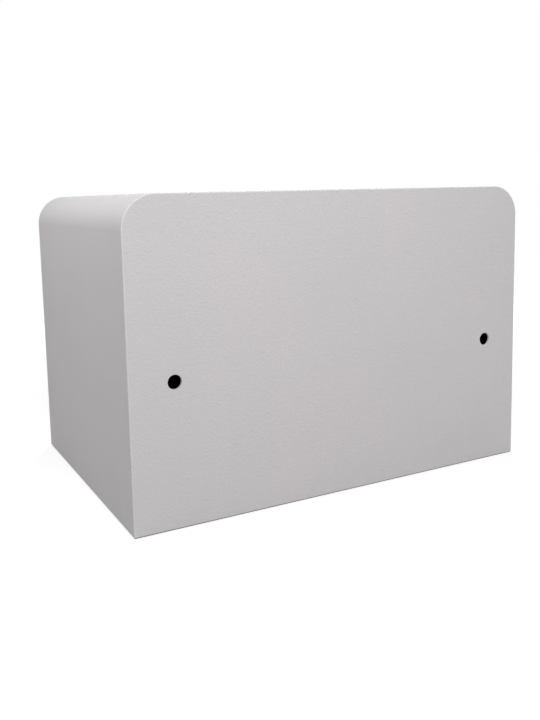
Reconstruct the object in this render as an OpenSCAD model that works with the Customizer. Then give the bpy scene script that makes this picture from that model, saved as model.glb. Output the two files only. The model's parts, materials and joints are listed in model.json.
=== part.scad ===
// Furniture safe: a small steel cabinet with rounded top corners, two anchor holes in its back,
// and an inset door that carries an electronic lock, a turning knob and a pair of round bolts.
// X runs across the front, Y from the front to the back, Z up. The origin is on the floor under
// the middle of the casing. The door is shut, with its bolts drawn back and its solenoid pulled in.

/* [Casing] */
// Width of the steel casing
case_w = 375; // [350:1:420]
// Depth of the steel casing
case_d = 255; // [220:1:320]
// Height of the steel casing
case_h = 250; // [242:1:300]
// Thickness of the casing sheet
shell_t = 2; // [1.5:0.5:3]
// Outer radius of the two top corners
corner_r = 26; // [18:1:32]
// Thickness of the felt mat on the floor
mat_t = 2; // [1:0.5:4]

/* [Wall anchors] */
// Diameter of the two anchor holes
anchor_d = 11; // [8:0.5:14]
// Distance between the two anchor holes
anchor_spacing = 303; // [200:1:320]
// Height of the anchor holes above the floor
anchor_z = 112.5; // [60:0.5:180]

/* [Door and frame] */
// Width of the frame seen round the door
rim_w = 22; // [20:1:26]
// Thickness of the front frame
frame_t = 3; // [2:0.5:4]
// Radius of the door opening's corners
opening_r = 5; // [3:0.5:8]
// Thickness of the door plate
door_t = 5; // [4:0.5:6]
// Gap between the door's edge and the frame
door_gap = 2; // [1.8:0.1:2.5]
// How far the stops reach behind the door's edge
stop_lap = 2.5; // [2:0.5:3]
// Thickness of the strike angle that the bolts close behind
strike_t = 4; // [3:0.5:4]

/* [Hinge] */
// Diameter of the hinge pins
pin_d = 6; // [5:0.5:7]
// Distance from the door's edge to the pins
pin_inset = 13; // [12:0.5:16]
// Height of each hinge block
block_h = 18; // [14:1:24]
// Thickness of the hinge brackets
bracket_t = 3; // [2:0.5:4]

/* [Boltwork] */
// Diameter of the two bolts
bolt_d = 18; // [14:1:20]
// Length of each bolt
bolt_len = 30; // [26:1:32]
// Distance between the two bolts
bolt_spacing = 66; // [60:1:72]
// Travel of the bolts
throw = 17; // [15:0.5:18]
// Thickness of the carrier plate
carrier_t = 2.5; // [2:0.5:3]
// Height of the carrier plate
carrier_h = 74; // [70:1:78]

/* [Knob] */
// Diameter of the knob's base
knob_d = 42; // [36:1:46]
// How far the knob stands out from the door
knob_h = 24; // [20:1:30]
// Diameter of the knob's spindle
spindle_d = 10; // [8:0.5:11]

/* [Keypad] */
// Width of the lock panel
panel_w = 155; // [152:1:160]
// Height of the lock panel
panel_h = 120; // [118:1:126]
// How far the lock panel stands out from the door
panel_t = 11; // [11:0.5:14]
// Thickness of the lock panel's walls
panel_wall = 2; // [1.5:0.5:2.5]
// Radius of the lock panel's corners
panel_r = 10; // [6:1:14]
// Width of a key
key_w = 18; // [15:0.5:19]
// Height of a key
key_h = 13; // [11:0.5:14]
// Distance between the columns of keys
key_pitch_x = 24; // [23:0.5:24]
// Distance between the rows of keys
key_pitch_z = 18; // [17.5:0.5:18]
// How far the keys stand out from the panel
key_proud = 1.8; // [1:0.1:2.5]
// Travel of the keys
key_travel = 1.2; // [0.8:0.1:1.3]

/* [Override lock] */
// Diameter of the lock barrel
barrel_d = 19; // [17:0.5:20]
// Diameter of the turning plug
plug_d = 12; // [10:0.5:13]
// Width of the keyway
keyway_w = 1.8; // [1.5:0.1:2]
// Travel of the solenoid plunger
drop = 5; // [4:0.5:5]

/* [Lock case] */
// Depth of the lock case behind the door
cover_depth = 38; // [37:1:44]
// Thickness of the lock case sheet
cover_t = 1.2; // [1:0.1:1.5]
// Diameter of one battery cell
cell_d = 14.2; // [13.5:0.1:14.4]
// Length of one battery cell
cell_len = 49; // [46:0.5:49.5]

/* [Hidden] */
$fn = 64;

// Key names by rows from the top left, and the sub-parts of the safe
KEY_NAMES = ["1", "2", "3", "4", "5", "6", "7", "8", "9", "star", "0", "hash"];

// Colours
paint = "#cfcccb";
zinc = "#b9bcc0";
steel = "#9a9da1";
charcoal = "#2c2e31";
board_green = "#1f5a3c";

// Casing planes
front_y = -case_d / 2;
back_y = case_d / 2;
inner_w = case_w - 2 * shell_t;
inner_top = case_h - shell_t;
frame_rear = front_y + frame_t;

// Door opening and door
open_w = case_w - 2 * rim_w;
open_low = rim_w;
open_top = case_h - rim_w;
door_w = open_w - 2 * door_gap;
door_low = open_low + door_gap;
door_top = open_top - door_gap;
door_left = -door_w / 2;
door_right = door_w / 2;
door_rear = front_y + door_t;
middle_z = case_h / 2;
// A place that lies v behind the door's rear face
function behind(v) = door_rear + v;

// Fits
slack = 0.3;
running = 0.05;

// Hinge line
pin_x = door_right - pin_inset;
pin_v = pin_d / 2 + 0.5;
pin_y = behind(pin_v);
pin_seat = 12;
bracket_side = 12;
bracket_reach = pin_d / 2 + 4;
block_w = [8, 9];

// Stops
strike_v = slack + strike_t;
strike_inner_x = door_left + stop_lap;
strike_leg_t = 2.5;
strike_leg_y = 26;
jamb_t = 2;
jamb_right = pin_x - 16;
mat_gap = 0.8;

// Bolts and their guide
guide_x = door_left + 6;
guide_t = 3;
guide_foot = 7;
bolt_r = bolt_d / 2;
bolt_v = strike_v + 0.7 + bolt_r;
bolt_back_x = guide_x + bolt_len;
bolt_chamfer = 1.5;
bolt_zs = [middle_z - bolt_spacing / 2, middle_z + bolt_spacing / 2];
screw_hole_depth = 14;

// Carrier plate and what guides it
carrier_v = 8;
carrier_right = door_left + 135.5;
carrier_low = middle_z - carrier_h / 2;
carrier_top = middle_z + carrier_h / 2;
flange_t = 2.5;
flange_h = bolt_spacing + bolt_d + 2;
knob_x = door_left + 71.5;
stud_neck_d = 6;
stud_d = 10;
stud_rise = 26;
stud_places = [[knob_x, middle_z + stud_rise], [knob_x, middle_z - stud_rise],
               [knob_x + 32, middle_z]];

// Cam: a pin that swings a quarter turn about the top moves the carrier by the throw
cam_v = 4.5;
cam_t = 3;
cam_pin_d = 6;
cam_swing = 45;
cam_arm = throw / (2 * sin(cam_swing));
cam_r = cam_arm + cam_pin_d / 2 + 2;
cam_pin_x = knob_x + cam_arm * sin(cam_swing);
cam_pin_z = middle_z + cam_arm * cos(cam_swing);
cam_slot_play = 0.9;
square_d = 0.7 * spindle_d;

// Knob
bush_flange_t = 2;
bush_d = spindle_d + 4;
knob_rear_y = front_y - bush_flange_t - 0.5;
knob_front_y = front_y - knob_h;
knob_base_t = 5;
grip_w = 13;
spindle_in_knob = 11;

// Solenoid over the carrier's top edge
sol_x = knob_x + 34;
sol_v = 10;
plunger_d = 7;
tip_z = carrier_top + 0.6;
collar_d = 13;
collar_t = 2;
collar_z = tip_z + drop + 0.4;
spring_len = 8;
coil_d = 16;
coil_len = 27;
sol_leaf_t = 1.5;
sol_w = 22;
sol_low = collar_z + collar_t + spring_len;
sol_high = sol_low + coil_len + 2 * sol_leaf_t;
notch_w = plunger_d + 1;
notch_depth = drop + 1;

// Override lock, whose lever lifts the plunger's collar
lever_w = 8;
lever_reach = 48;
lever_v = sol_v + plunger_d / 2 + slack;
lever_t = 2;
lock_x = knob_x + 84;
lock_z = collar_z - lever_w / 2 - 0.1;
tail_w = 6;
barrel_v = lever_v - 2.6;
barrel_flange_t = 1.5;
nut_t = 5;
bush_nut_t = 4;

// Lock panel
panel_front = front_y - panel_t;
panel_left = lock_x - 22;
panel_right = panel_left + panel_w;
panel_x = panel_left + panel_w / 2;
panel_z = middle_z + 5;
panel_top = panel_z + panel_h / 2;
panel_low = panel_z - panel_h / 2;
boss_d = 9;
boss_screw_d = 4;
boss_inset = panel_wall + boss_d / 2 + 0.5;
boss_places = [[panel_left + boss_inset + 3, panel_low + boss_inset + 3],
               [panel_right - boss_inset, panel_top - boss_inset - 5]];
recess_d = barrel_d + 7.4;
recess_depth = 3;
well_wall = 1.8;
cap_r = recess_d / 2 + 0.8;
cap_t = 2.2;
cap_arm = cap_r + 2.3;
cap_pivot_d = 4;
cap_lobe_r = 5;
pad_w = key_pitch_x * 3;
pad_h = key_pitch_z * 4;
board_edge = 2;
board_foot = 4.5;
led_row = 21;
board_x = [panel_right - boss_inset - boss_d / 2 - 2 * slack - pad_w - 2 * board_edge,
           panel_right - boss_inset - boss_d / 2 - 2 * slack];
board_z = [panel_low + panel_wall + 2.5, panel_low + panel_wall + 2.5 + board_foot + pad_h + led_row];
keys_x = (board_x[0] + board_x[1]) / 2;
keys_z = board_z[0] + board_foot + pad_h / 2;
key_r = 2;
key_flange = 1.3;
key_flange_t = 1;
mat_under = panel_front + panel_wall + slack + key_flange_t + key_travel + 0.1;
mat_pad = 1;
mat_sheet = 1;
board_y = mat_under + mat_pad + mat_sheet;
board_t = 1.6;
led_d = 5;
led_z = board_z[1] - led_d - 1;
peg_d = 4;
contact_places = [[lock_x - 6, panel_low + 24], [lock_x + 6, panel_low + 24]];
contact_d = 5;

// Lock case behind the door
cover_left = guide_x + guide_t;
cover_right = door_right - 31.5;
cover_low = middle_z - 61;
cover_high = sol_high + 4;
post_d = 8;
post_inset = 8;
post_places = [for (x = [cover_left + 14.5, cover_right - post_inset],
                    z = [cover_low + post_inset, cover_high - post_inset]) [x, z]];
post_screw_d = 3;
post_screw_len = 10;

// Battery tray, its sliding lid and the board beneath it
tray_wall = 4;
tray_floor = 2;
cell_pitch = cell_d + 0.8;
cell_count = 4;
contact_room = 4.5;
hold_w = cell_len + 2 * contact_room;
hold_h = cell_pitch * cell_count;
tray_lip = 3;
tray_x = [cover_right - 2 * tray_lip - hold_w - 2 * tray_wall, cover_right - 2 * tray_lip];
tray_low = middle_z - 33;
tray_z = [tray_low, tray_low + hold_h + 2 * tray_wall + 2];
tray_v = 17;
lid_t = 1.6;
lid_v = cover_depth + 0.6;
tray_top_v = lid_v + lid_t + 0.8;
lid_bite = 2;
reset_d = 7;
reset_travel = 1.5;
reset_x = cover_right - 22;
reset_z = tray_z[1] + tray_lip + reset_d;
switch_h = 4;
pcb_v = 6;
pcb_x = [tray_x[0] - 4, cover_right - 10];
pcb_z = [tray_low, reset_z + 12];
pcb_post_d = 6;
pcb_posts = [for (x = [pcb_x[0] + 4, pcb_x[1] - 4], z = [pcb_z[0] + 4, pcb_z[1] - 22]) [x, z]];
socket = [10, 5, 6];
relay = [19, 7, 15];
relay_place = [pcb_x[0] + 30, middle_z - 20];
chip = [14, 2, 10];
chip_place = [pcb_x[0] + 24, middle_z + 10];
can_d = 8;
can_len = 7;
can_place = [pcb_x[0] + 50, middle_z + 14];
switch_w = 6;
socket_x = pcb_x[0] + 6;
lead_z = pcb_z[1] - 16;
cell_lead_z = middle_z + 4;
lead_v = pcb_v + board_t + socket[1] / 2;
loom_x = socket_x;
loom_z = pcb_z[0] - 14;
loom_d = 4;
lead_d = 2.8;

// Helpers

// Extrudes a shape drawn in X and Z from y0 back to y1
module slab(y0, y1) {
    translate([0, y1, 0]) rotate([90, 0, 0]) linear_extrude(height = y1 - y0) children();
}

// A round peg along Y
module peg(x, z, y0, y1, d) {
    slab(y0, y1) translate([x, z]) circle(d = d);
}

// A round rod along X
module rod(x0, x1, y, z, d) {
    translate([x0, y, z]) rotate([0, 90, 0]) cylinder(d = d, h = x1 - x0);
}

// A block between two corners
module block(low, high) {
    translate(low) cube(high - low);
}

// An outline with square feet and two round top corners
module arch(w, h, r) {
    translate([-w / 2, 0]) square([w, h - r]);
    translate([-w / 2 + r, 0]) square([w - 2 * r, h]);
    for (s = [-1, 1]) translate([s * (w / 2 - r), h - r]) circle(r = r);
}

// A rectangle with four round corners, centred
module rounded(w, h, r) {
    square([w, h - 2 * r], center = true);
    square([w - 2 * r, h], center = true);
    for (x = [-1, 1], z = [-1, 1]) translate([x * (w / 2 - r), z * (h / 2 - r)]) circle(r = r);
}

// A slot with round ends that runs from its first centre to x1
module slot(x0, x1, z, d) {
    translate([x0, z - d / 2]) square([x1 - x0, d]);
    for (x = [x0, x1]) translate([x, z]) circle(d = d);
}

// A hexagonal nut along Y
module hex_nut(x, z, y0, y1, across, bore) {
    slab(y0, y1) translate([x, z]) difference() {
        circle(d = across / cos(30), $fn = 6);
        circle(d = bore);
    }
}

// Points of a ring of a round tube at p, square to the direction d
function ring(p, d, r, sides) =
    let (f = d / norm(d), side = cross(abs(f[2]) < 0.8 ? [0, 0, 1] : [1, 0, 0], f),
         a = side / norm(side), b = cross(f, a))
    [for (i = [0:sides - 1]) p + r * (cos(360 * i / sides) * a + sin(360 * i / sides) * b)];

// A tube of radius r that follows the points of a route
module tube(route, r, sides = 8) {
    last = len(route) - 1;
    dirs = [for (i = [0:last]) route[min(i + 1, last)] - route[max(i - 1, 0)]];
    points = [for (i = [0:last]) each ring(route[i], dirs[i], r, sides)];
    ends = [[for (j = [0:sides - 1]) j], [for (j = [0:sides - 1]) last * sides + sides - 1 - j]];
    walls = [for (i = [0:last - 1], j = [0:sides - 1]) let (k = (j + 1) % sides)
        [i * sides + j, (i + 1) * sides + j, (i + 1) * sides + k, i * sides + k]];
    faces = concat(ends, [for (w = walls) each [[w[0], w[1], w[2]], [w[0], w[2], w[3]]]]);
    polyhedron(points, faces);
}

// A point at t on the smooth curve through four points
function bend(p, t) = 0.5 * (2 * p[1] + (p[2] - p[0]) * t + (2 * p[0] - 5 * p[1] + 4 * p[2] - p[3]) * t * t
    + (3 * p[1] - p[0] - 3 * p[2] + p[3]) * t * t * t);

// A smooth route through the given points, with n steps between each two
function smooth(pts, n = 5) = let (last = len(pts) - 1)
    [for (i = [0:last - 1], s = [0:(i == last - 1 ? n : n - 1)])
        bend([pts[max(i - 1, 0)], pts[i], pts[i + 1], pts[min(i + 2, last)]], s / n)];

// A coil spring along Z from z = 0, of mean radius r, with 8 rings to a turn
module spring(r, wire, turns, length) {
    steps = 8 * turns;
    rise = length - wire;
    tube([for (i = [0:steps]) [r * cos(45 * i), r * sin(45 * i), wire / 2 + rise * i / steps]],
         wire / 2, 6);
}

// Casing

// Sides and top in one bent sheet
module body_shell() {
    color(paint) slab(front_y, back_y - shell_t) difference() {
        arch(case_w, case_h, corner_r);
        translate([0, -1]) arch(inner_w, inner_top + 1, corner_r - shell_t);
    }
}

// Flat back with its two anchor holes
module back_panel() {
    color(paint) slab(back_y - shell_t, back_y) difference() {
        arch(case_w, case_h, corner_r);
        for (s = [-1, 1]) translate([s * anchor_spacing / 2, anchor_z]) circle(d = anchor_d);
    }
}

module base_panel() {
    color(paint) block([-inner_w / 2, front_y, 0], [inner_w / 2, back_y - shell_t, shell_t]);
}

module front_frame() {
    color(paint) slab(front_y, frame_rear) difference() {
        translate([0, shell_t]) arch(inner_w, inner_top - shell_t, corner_r - shell_t);
        translate([0, middle_z]) rounded(open_w, open_top - open_low, opening_r);
    }
}

// Angle behind the frame's left side, which stops the door and holds the bolts
module strike_angle() {
    wall_x = -inner_w / 2;
    height = case_h - corner_r - shell_t;
    color(paint) translate([0, 0, shell_t]) linear_extrude(height = height - shell_t) {
        translate([wall_x, behind(slack)]) square([strike_inner_x - wall_x, strike_t]);
        translate([wall_x, behind(slack)]) square([strike_leg_t, strike_leg_y]);
    }
}

// Flat stops behind the door's top and bottom edges
module jamb_strips() {
    color(paint) for (z = [[door_top - stop_lap, inner_top], [shell_t, door_low + stop_lap]])
        block([strike_inner_x, behind(slack), z[0]], [jamb_right, behind(slack) + jamb_t, z[1]]);
}

// Angle brackets that hold the hinge pins above and below the opening
module hinge_brackets() {
    leaf_z = [[open_top, open_top + bracket_t], [open_low - bracket_t, open_low]];
    weld_z = [[open_top, inner_top - 3], [shell_t + 2, open_low]];
    x = [pin_x - bracket_side, pin_x + bracket_side - 1];
    color(zinc) for (i = [0, 1]) difference() {
        union() {
            block([x[0], frame_rear, leaf_z[i][0]], [x[1], pin_y + bracket_reach, leaf_z[i][1]]);
            block([x[0], frame_rear, weld_z[i][0]], [x[1], frame_rear + 2, weld_z[i][1]]);
        }
        translate([pin_x, pin_y, leaf_z[i][0] - 1])
            cylinder(d = pin_d + 2 * running, h = bracket_t + 2);
    }
}

// Ring that carries the door on the lower bracket
module thrust_washer() {
    color(steel) translate([pin_x, pin_y, open_low]) difference() {
        cylinder(d = pin_d + 6, h = door_gap);
        translate([0, 0, -1]) cylinder(d = pin_d + 2 * running, h = door_gap + 2);
    }
}

module floor_mat() {
    color("#53565a") block([-inner_w / 2 + strike_leg_t + mat_gap, behind(strike_v) + mat_gap, shell_t],
        [inner_w / 2 - mat_gap, back_y - shell_t - mat_gap, shell_t + mat_t]);
}

// Door

module door_plate() {
    color(paint) slab(front_y, door_rear) difference() {
        translate([0, middle_z]) rounded(door_w, door_top - door_low, opening_r - door_gap);
        translate([knob_x, middle_z]) circle(d = bush_d);
        translate([lock_x, lock_z]) circle(d = barrel_d);
        translate([loom_x, loom_z]) circle(d = loom_d + 5);
        for (p = boss_places) translate(p) circle(d = boss_screw_d + 0.4);
    }
}

module hinge_blocks() {
    color(paint) for (top = [true, false]) {
        z0 = top ? door_top - block_h : door_low;
        difference() {
            block([pin_x - block_w[0], door_rear, z0],
                  [pin_x + block_w[1], behind(2 * pin_v + 2), z0 + block_h]);
            translate([pin_x, pin_y, top ? door_top - pin_seat : door_low - 1])
                cylinder(d = pin_d, h = pin_seat + 1);
        }
    }
}

module hinge_pins() {
    length = pin_seat + door_gap + bracket_t + 2;
    color(steel) for (z = [door_top - pin_seat, door_low + pin_seat - length])
        translate([pin_x, pin_y, z]) cylinder(d = pin_d, h = length);
}

// Upright that closes the lock case's left side and guides both bolts
module bolt_guide() {
    color(zinc) difference() {
        union() {
            block([guide_x, door_rear, cover_low], [cover_left, behind(cover_depth), cover_high]);
            block([cover_left, door_rear, cover_low + cover_t],
                  [cover_left + guide_foot, behind(3), cover_high - cover_t]);
        }
        for (z = bolt_zs) rod(guide_x - 1, cover_left + 1, behind(bolt_v), z, bolt_d + 4 * running);
    }
}

module lock_cover() {
    color(paint) difference() {
        block([cover_left, door_rear, cover_low], [cover_right, behind(cover_depth), cover_high]);
        block([cover_left - 1, door_rear - 1, cover_low + cover_t],
              [cover_right - cover_t, behind(cover_depth - cover_t), cover_high - cover_t]);
        block([tray_x[0] - 0.2, behind(cover_depth - 5), tray_z[0] - 0.2],
              [tray_x[1] + 0.2, behind(cover_depth + 1), tray_z[1] + 0.2]);
        for (p = post_places)
            peg(p[0], p[1], behind(cover_depth - 5), behind(cover_depth + 1), post_screw_d + 0.4);
        peg(reset_x, reset_z, behind(cover_depth - 5), behind(cover_depth + 1), reset_d + 0.4);
    }
}

module cover_screws() {
    color(steel) for (p = post_places) {
        peg(p[0], p[1], behind(cover_depth - post_screw_len), behind(cover_depth), post_screw_d);
        peg(p[0], p[1], behind(cover_depth), behind(cover_depth + 2), 2 * post_screw_d);
    }
}

// Posts welded to the door: four tapped ones for the lock case, four short ones for the board
module weld_studs() {
    color(steel) {
        for (p = post_places) slab(door_rear, behind(cover_depth - cover_t)) translate(p)
            difference() {
                circle(d = post_d);
                circle(d = post_screw_d);
            }
        for (p = pcb_posts) peg(p[0], p[1], door_rear, behind(pcb_v), pcb_post_d);
    }
}

// Shouldered studs that the carrier slides on
module slide_studs() {
    color(steel) for (p = stud_places) {
        peg(p[0], p[1], door_rear, behind(carrier_v - 0.2), stud_d);
        peg(p[0], p[1], behind(carrier_v - 0.2), behind(carrier_v + carrier_t + 2), stud_neck_d);
    }
}

module stud_clips() {
    v = carrier_v + carrier_t + slack;
    color(charcoal) for (p = stud_places) slab(behind(v), behind(v + 1)) translate(p)
        difference() {
            circle(d = stud_neck_d + 5);
            circle(d = stud_neck_d);
        }
}

// Boltwork

module locking_bolts() {
    y = behind(bolt_v);
    color(zinc) for (z = bolt_zs) difference() {
        union() {
            rod(guide_x + bolt_chamfer, bolt_back_x, y, z, bolt_d);
            translate([guide_x, y, z]) rotate([0, 90, 0])
                cylinder(r1 = bolt_r - bolt_chamfer, r2 = bolt_r, h = bolt_chamfer);
        }
        rod(bolt_back_x - screw_hole_depth, bolt_back_x + 1, y, z, 6);
    }
}

module bolt_screws() {
    y = behind(bolt_v);
    color(steel) for (z = bolt_zs) {
        rod(bolt_back_x - screw_hole_depth, bolt_back_x + flange_t, y, z, 6);
        rod(bolt_back_x + flange_t, bolt_back_x + flange_t + 4, y, z, 10);
    }
}

// Sliding plate: a flange for the bolts, slots for the studs and the cam pin, notches for the plunger
module bolt_carrier() {
    flange_v = bolt_v + bolt_r;
    color(zinc) difference() {
        union() {
            slab(behind(carrier_v), behind(carrier_v + carrier_t)) difference() {
                union() {
                    translate([bolt_back_x, carrier_low]) square([carrier_right - bolt_back_x, carrier_h]);
                    translate([bolt_back_x, middle_z - flange_h / 2]) square([flange_t + 2, flange_h]);
                }
                for (p = stud_places) slot(p[0], p[0] + throw, p[1], stud_neck_d + 0.4);
                translate([cam_pin_x - cam_pin_d / 2 - cam_slot_play / 2, cam_pin_z - cam_pin_d / 2 - 0.5])
                    square([cam_pin_d + cam_slot_play, cam_arm * (1 - cos(cam_swing)) + cam_pin_d + 1]);
                for (x = [sol_x, sol_x + throw])
                    translate([x - notch_w / 2, carrier_top - notch_depth])
                        square([notch_w, notch_depth + 1]);
                for (z = bolt_zs) translate([bolt_back_x + flange_t, z - 6]) square([6, 12]);
            }
            block([bolt_back_x, behind(carrier_v), middle_z - flange_h / 2],
                  [bolt_back_x + flange_t, behind(flange_v), middle_z + flange_h / 2]);
        }
        for (z = bolt_zs) rod(bolt_back_x - 1, bolt_back_x + flange_t + 1, behind(bolt_v), z, 6);
    }
}

module cam_plate() {
    color(zinc) {
        slab(behind(cam_v), behind(cam_v + cam_t)) translate([knob_x, middle_z]) difference() {
            circle(r = cam_r);
            square(square_d, center = true);
        }
        peg(cam_pin_x, cam_pin_z, behind(cam_v + cam_t), behind(carrier_v + carrier_t + 1.5), cam_pin_d);
    }
}

// Knob and its spindle

module knob() {
    color(zinc) difference() {
        union() {
            peg(knob_x, middle_z, knob_rear_y - knob_base_t, knob_rear_y, knob_d);
            slab(knob_front_y, knob_rear_y - knob_base_t) translate([knob_x, middle_z])
                slot(-(knob_d - grip_w) / 2 + 1, (knob_d - grip_w) / 2 - 1, 0, grip_w);
        }
        peg(knob_x, middle_z, knob_rear_y - spindle_in_knob, knob_rear_y + 1, spindle_d);
    }
}

module knob_bush() {
    bore = spindle_d + 2 * running;
    color(steel) {
        slab(front_y - bush_flange_t, front_y) translate([knob_x, middle_z]) difference() {
            circle(d = bush_d + 10);
            circle(d = bore);
        }
        slab(front_y, behind(bush_nut_t)) translate([knob_x, middle_z]) difference() {
            circle(d = bush_d);
            circle(d = bore);
        }
    }
}

module knob_spindle() {
    color(steel) {
        peg(knob_x, middle_z, knob_rear_y - spindle_in_knob, behind(cam_v), spindle_d);
        slab(behind(cam_v), behind(cam_v + cam_t)) translate([knob_x, middle_z])
            square(square_d, center = true);
    }
}

// The two hexagonal nuts behind the door: the bush's and the lock barrel's
module panel_nuts() {
    color(zinc) {
        hex_nut(knob_x, middle_z, door_rear, behind(bush_nut_t), bush_d + 6, bush_d);
        hex_nut(lock_x, lock_z, door_rear, behind(nut_t), barrel_d + 6, barrel_d);
    }
}

// Solenoid

module solenoid_frame() {
    color(zinc) difference() {
        union() {
            block([sol_x - sol_w / 2, door_rear, sol_low],
                  [sol_x + sol_w / 2, behind(sol_leaf_t), sol_high]);
            for (z = [sol_low, sol_high - sol_leaf_t])
                block([sol_x - sol_w / 2, door_rear, z],
                      [sol_x + sol_w / 2, behind(sol_v + coil_d / 2 + 1), z + sol_leaf_t]);
        }
        translate([sol_x, behind(sol_v), sol_low - 1]) cylinder(d = plunger_d + 0.6, h = sol_leaf_t + 2);
    }
}

module solenoid_coil() {
    color("#7a3b22") translate([sol_x, behind(sol_v), sol_low + sol_leaf_t]) difference() {
        cylinder(d = coil_d, h = coil_len);
        translate([0, 0, -1]) cylinder(d = plunger_d + 0.6, h = coil_len + 2);
    }
}

module solenoid_plunger() {
    color(steel) translate([sol_x, behind(sol_v), 0]) {
        translate([0, 0, tip_z]) cylinder(d = plunger_d, h = sol_low + coil_len - 5 - tip_z);
        translate([0, 0, collar_z]) cylinder(d = collar_d, h = collar_t);
    }
}

module plunger_spring() {
    color(steel) translate([sol_x, behind(sol_v), collar_z + collar_t])
        spring(r = plunger_d / 2 + 1.2, wire = 0.8, turns = 4, length = spring_len);
}

// Electronics in the lock case

module control_board() {
    color(board_green)
        block([pcb_x[0], behind(pcb_v), pcb_z[0]], [pcb_x[1], behind(pcb_v + board_t), pcb_z[1]]);
}

// Sockets for the leads, relay, chip, capacitor and the switch under the reset button
module board_parts() {
    v0 = pcb_v + board_t;
    color("#e8e4d8") for (z = [pcb_z[0] + socket[2], lead_z, cell_lead_z])
        translate([socket_x - socket[0] / 2, behind(v0), z - socket[2] / 2]) cube(socket);
    color(charcoal) {
        translate([relay_place[0], behind(v0), relay_place[1]]) cube(relay);
        translate([chip_place[0], behind(v0), chip_place[1]]) cube(chip);
        translate([reset_x - switch_w / 2, behind(v0), reset_z - switch_w / 2])
            cube([switch_w, switch_h, switch_w]);
    }
    color("#27406b") peg(can_place[0], can_place[1], behind(v0), behind(v0 + can_len), can_d);
}

// Open box for four cells, whose rim stands through the lock case and holds the sliding lid
module battery_tray() {
    hold_x = [tray_x[0] + tray_wall, tray_x[1] - tray_wall];
    hold_z = [tray_z[0] + tray_wall + 1, tray_z[1] - tray_wall - 1];
    color(charcoal) difference() {
        union() {
            block([tray_x[0], behind(tray_v), tray_z[0]], [tray_x[1], behind(tray_top_v), tray_z[1]]);
            block([tray_x[0] - tray_lip, behind(cover_depth - cover_t - 2), tray_z[0] - tray_lip],
                  [tray_x[1] + tray_lip, behind(cover_depth - cover_t), tray_z[1] + tray_lip]);
        }
        block([hold_x[0], behind(tray_v + tray_floor), hold_z[0]],
              [hold_x[1], behind(tray_top_v + 1), hold_z[1]]);
        block([tray_x[0] - 1, behind(lid_v - 0.2), hold_z[0] - lid_bite],
              [hold_x[1] + lid_bite, behind(lid_v + lid_t + 0.2), hold_z[1] + lid_bite]);
        block([tray_x[0] - 1, behind(lid_v), hold_z[0]],
              [hold_x[0] + 1, behind(tray_top_v + 1), hold_z[1]]);
    }
}

module battery_cells() {
    x0 = tray_x[0] + tray_wall + contact_room;
    z0 = tray_z[0] + tray_wall + 1 + cell_pitch / 2;
    y = behind(tray_v + tray_floor + cell_d / 2);
    color("#3d6f9e") for (i = [0:cell_count - 1]) {
        flip = i % 2 == 0;
        rod(x0, x0 + cell_len, y, z0 + i * cell_pitch, cell_d);
        rod(flip ? x0 + cell_len : x0 - 1.2, flip ? x0 + cell_len + 1.2 : x0, y, z0 + i * cell_pitch, 5.5);
    }
}

// At each cell, a flat plate for its nub and a plate with a coil spring for its flat end
module battery_contacts() {
    plate_t = 0.5;
    side = 10;
    x_low = tray_x[0] + tray_wall;
    x_high = tray_x[1] - tray_wall;
    z0 = tray_z[0] + tray_wall + 1 + cell_pitch / 2;
    y = behind(tray_v + tray_floor + cell_d / 2);
    reach = contact_room - plate_t;
    color("#c8c9cb") for (i = [0:cell_count - 1]) {
        z = z0 + i * cell_pitch;
        sprung_low = i % 2 == 0;
        for (x = [x_low, x_high - plate_t])
            block([x, y - side / 2, z - side / 2], [x + plate_t, y + side / 2, z + side / 2]);
        translate([sprung_low ? x_low + plate_t : x_high - plate_t, y, z])
            rotate([0, sprung_low ? 90 : -90, 0]) spring(r = 2.6, wire = 0.6, turns = 3, length = reach);
        rod(sprung_low ? x_high - plate_t - reach + 1.2 : x_low + plate_t,
            sprung_low ? x_high - plate_t : x_low + plate_t + reach - 1.2, y, z, 3);
    }
}

module battery_lid() {
    x = [tray_x[0] + slack, tray_x[1] - tray_wall + lid_bite - slack];
    z = [tray_z[0] + tray_wall + 1 - lid_bite + slack, tray_z[1] - tray_wall - 1 + lid_bite - slack];
    color(charcoal) {
        block([x[0], behind(lid_v), z[0]], [x[1], behind(lid_v + lid_t), z[1]]);
        for (i = [0:3]) block([x[0] + 4 + 3 * i, behind(lid_v + lid_t), middle_z - 10],
                              [x[0] + 5.4 + 3 * i, behind(lid_v + lid_t + 0.7), middle_z + 6]);
    }
}

module reset_button() {
    flange_v = cover_depth - cover_t - slack - 1;
    color("#b3231d") {
        peg(reset_x, reset_z, behind(flange_v), behind(cover_depth + 2), reset_d);
        peg(reset_x, reset_z, behind(flange_v), behind(flange_v + 1), reset_d + 3);
        peg(reset_x, reset_z, behind(pcb_v + board_t + switch_h + reset_travel + 0.2), behind(flange_v), 4);
    }
}

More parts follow.
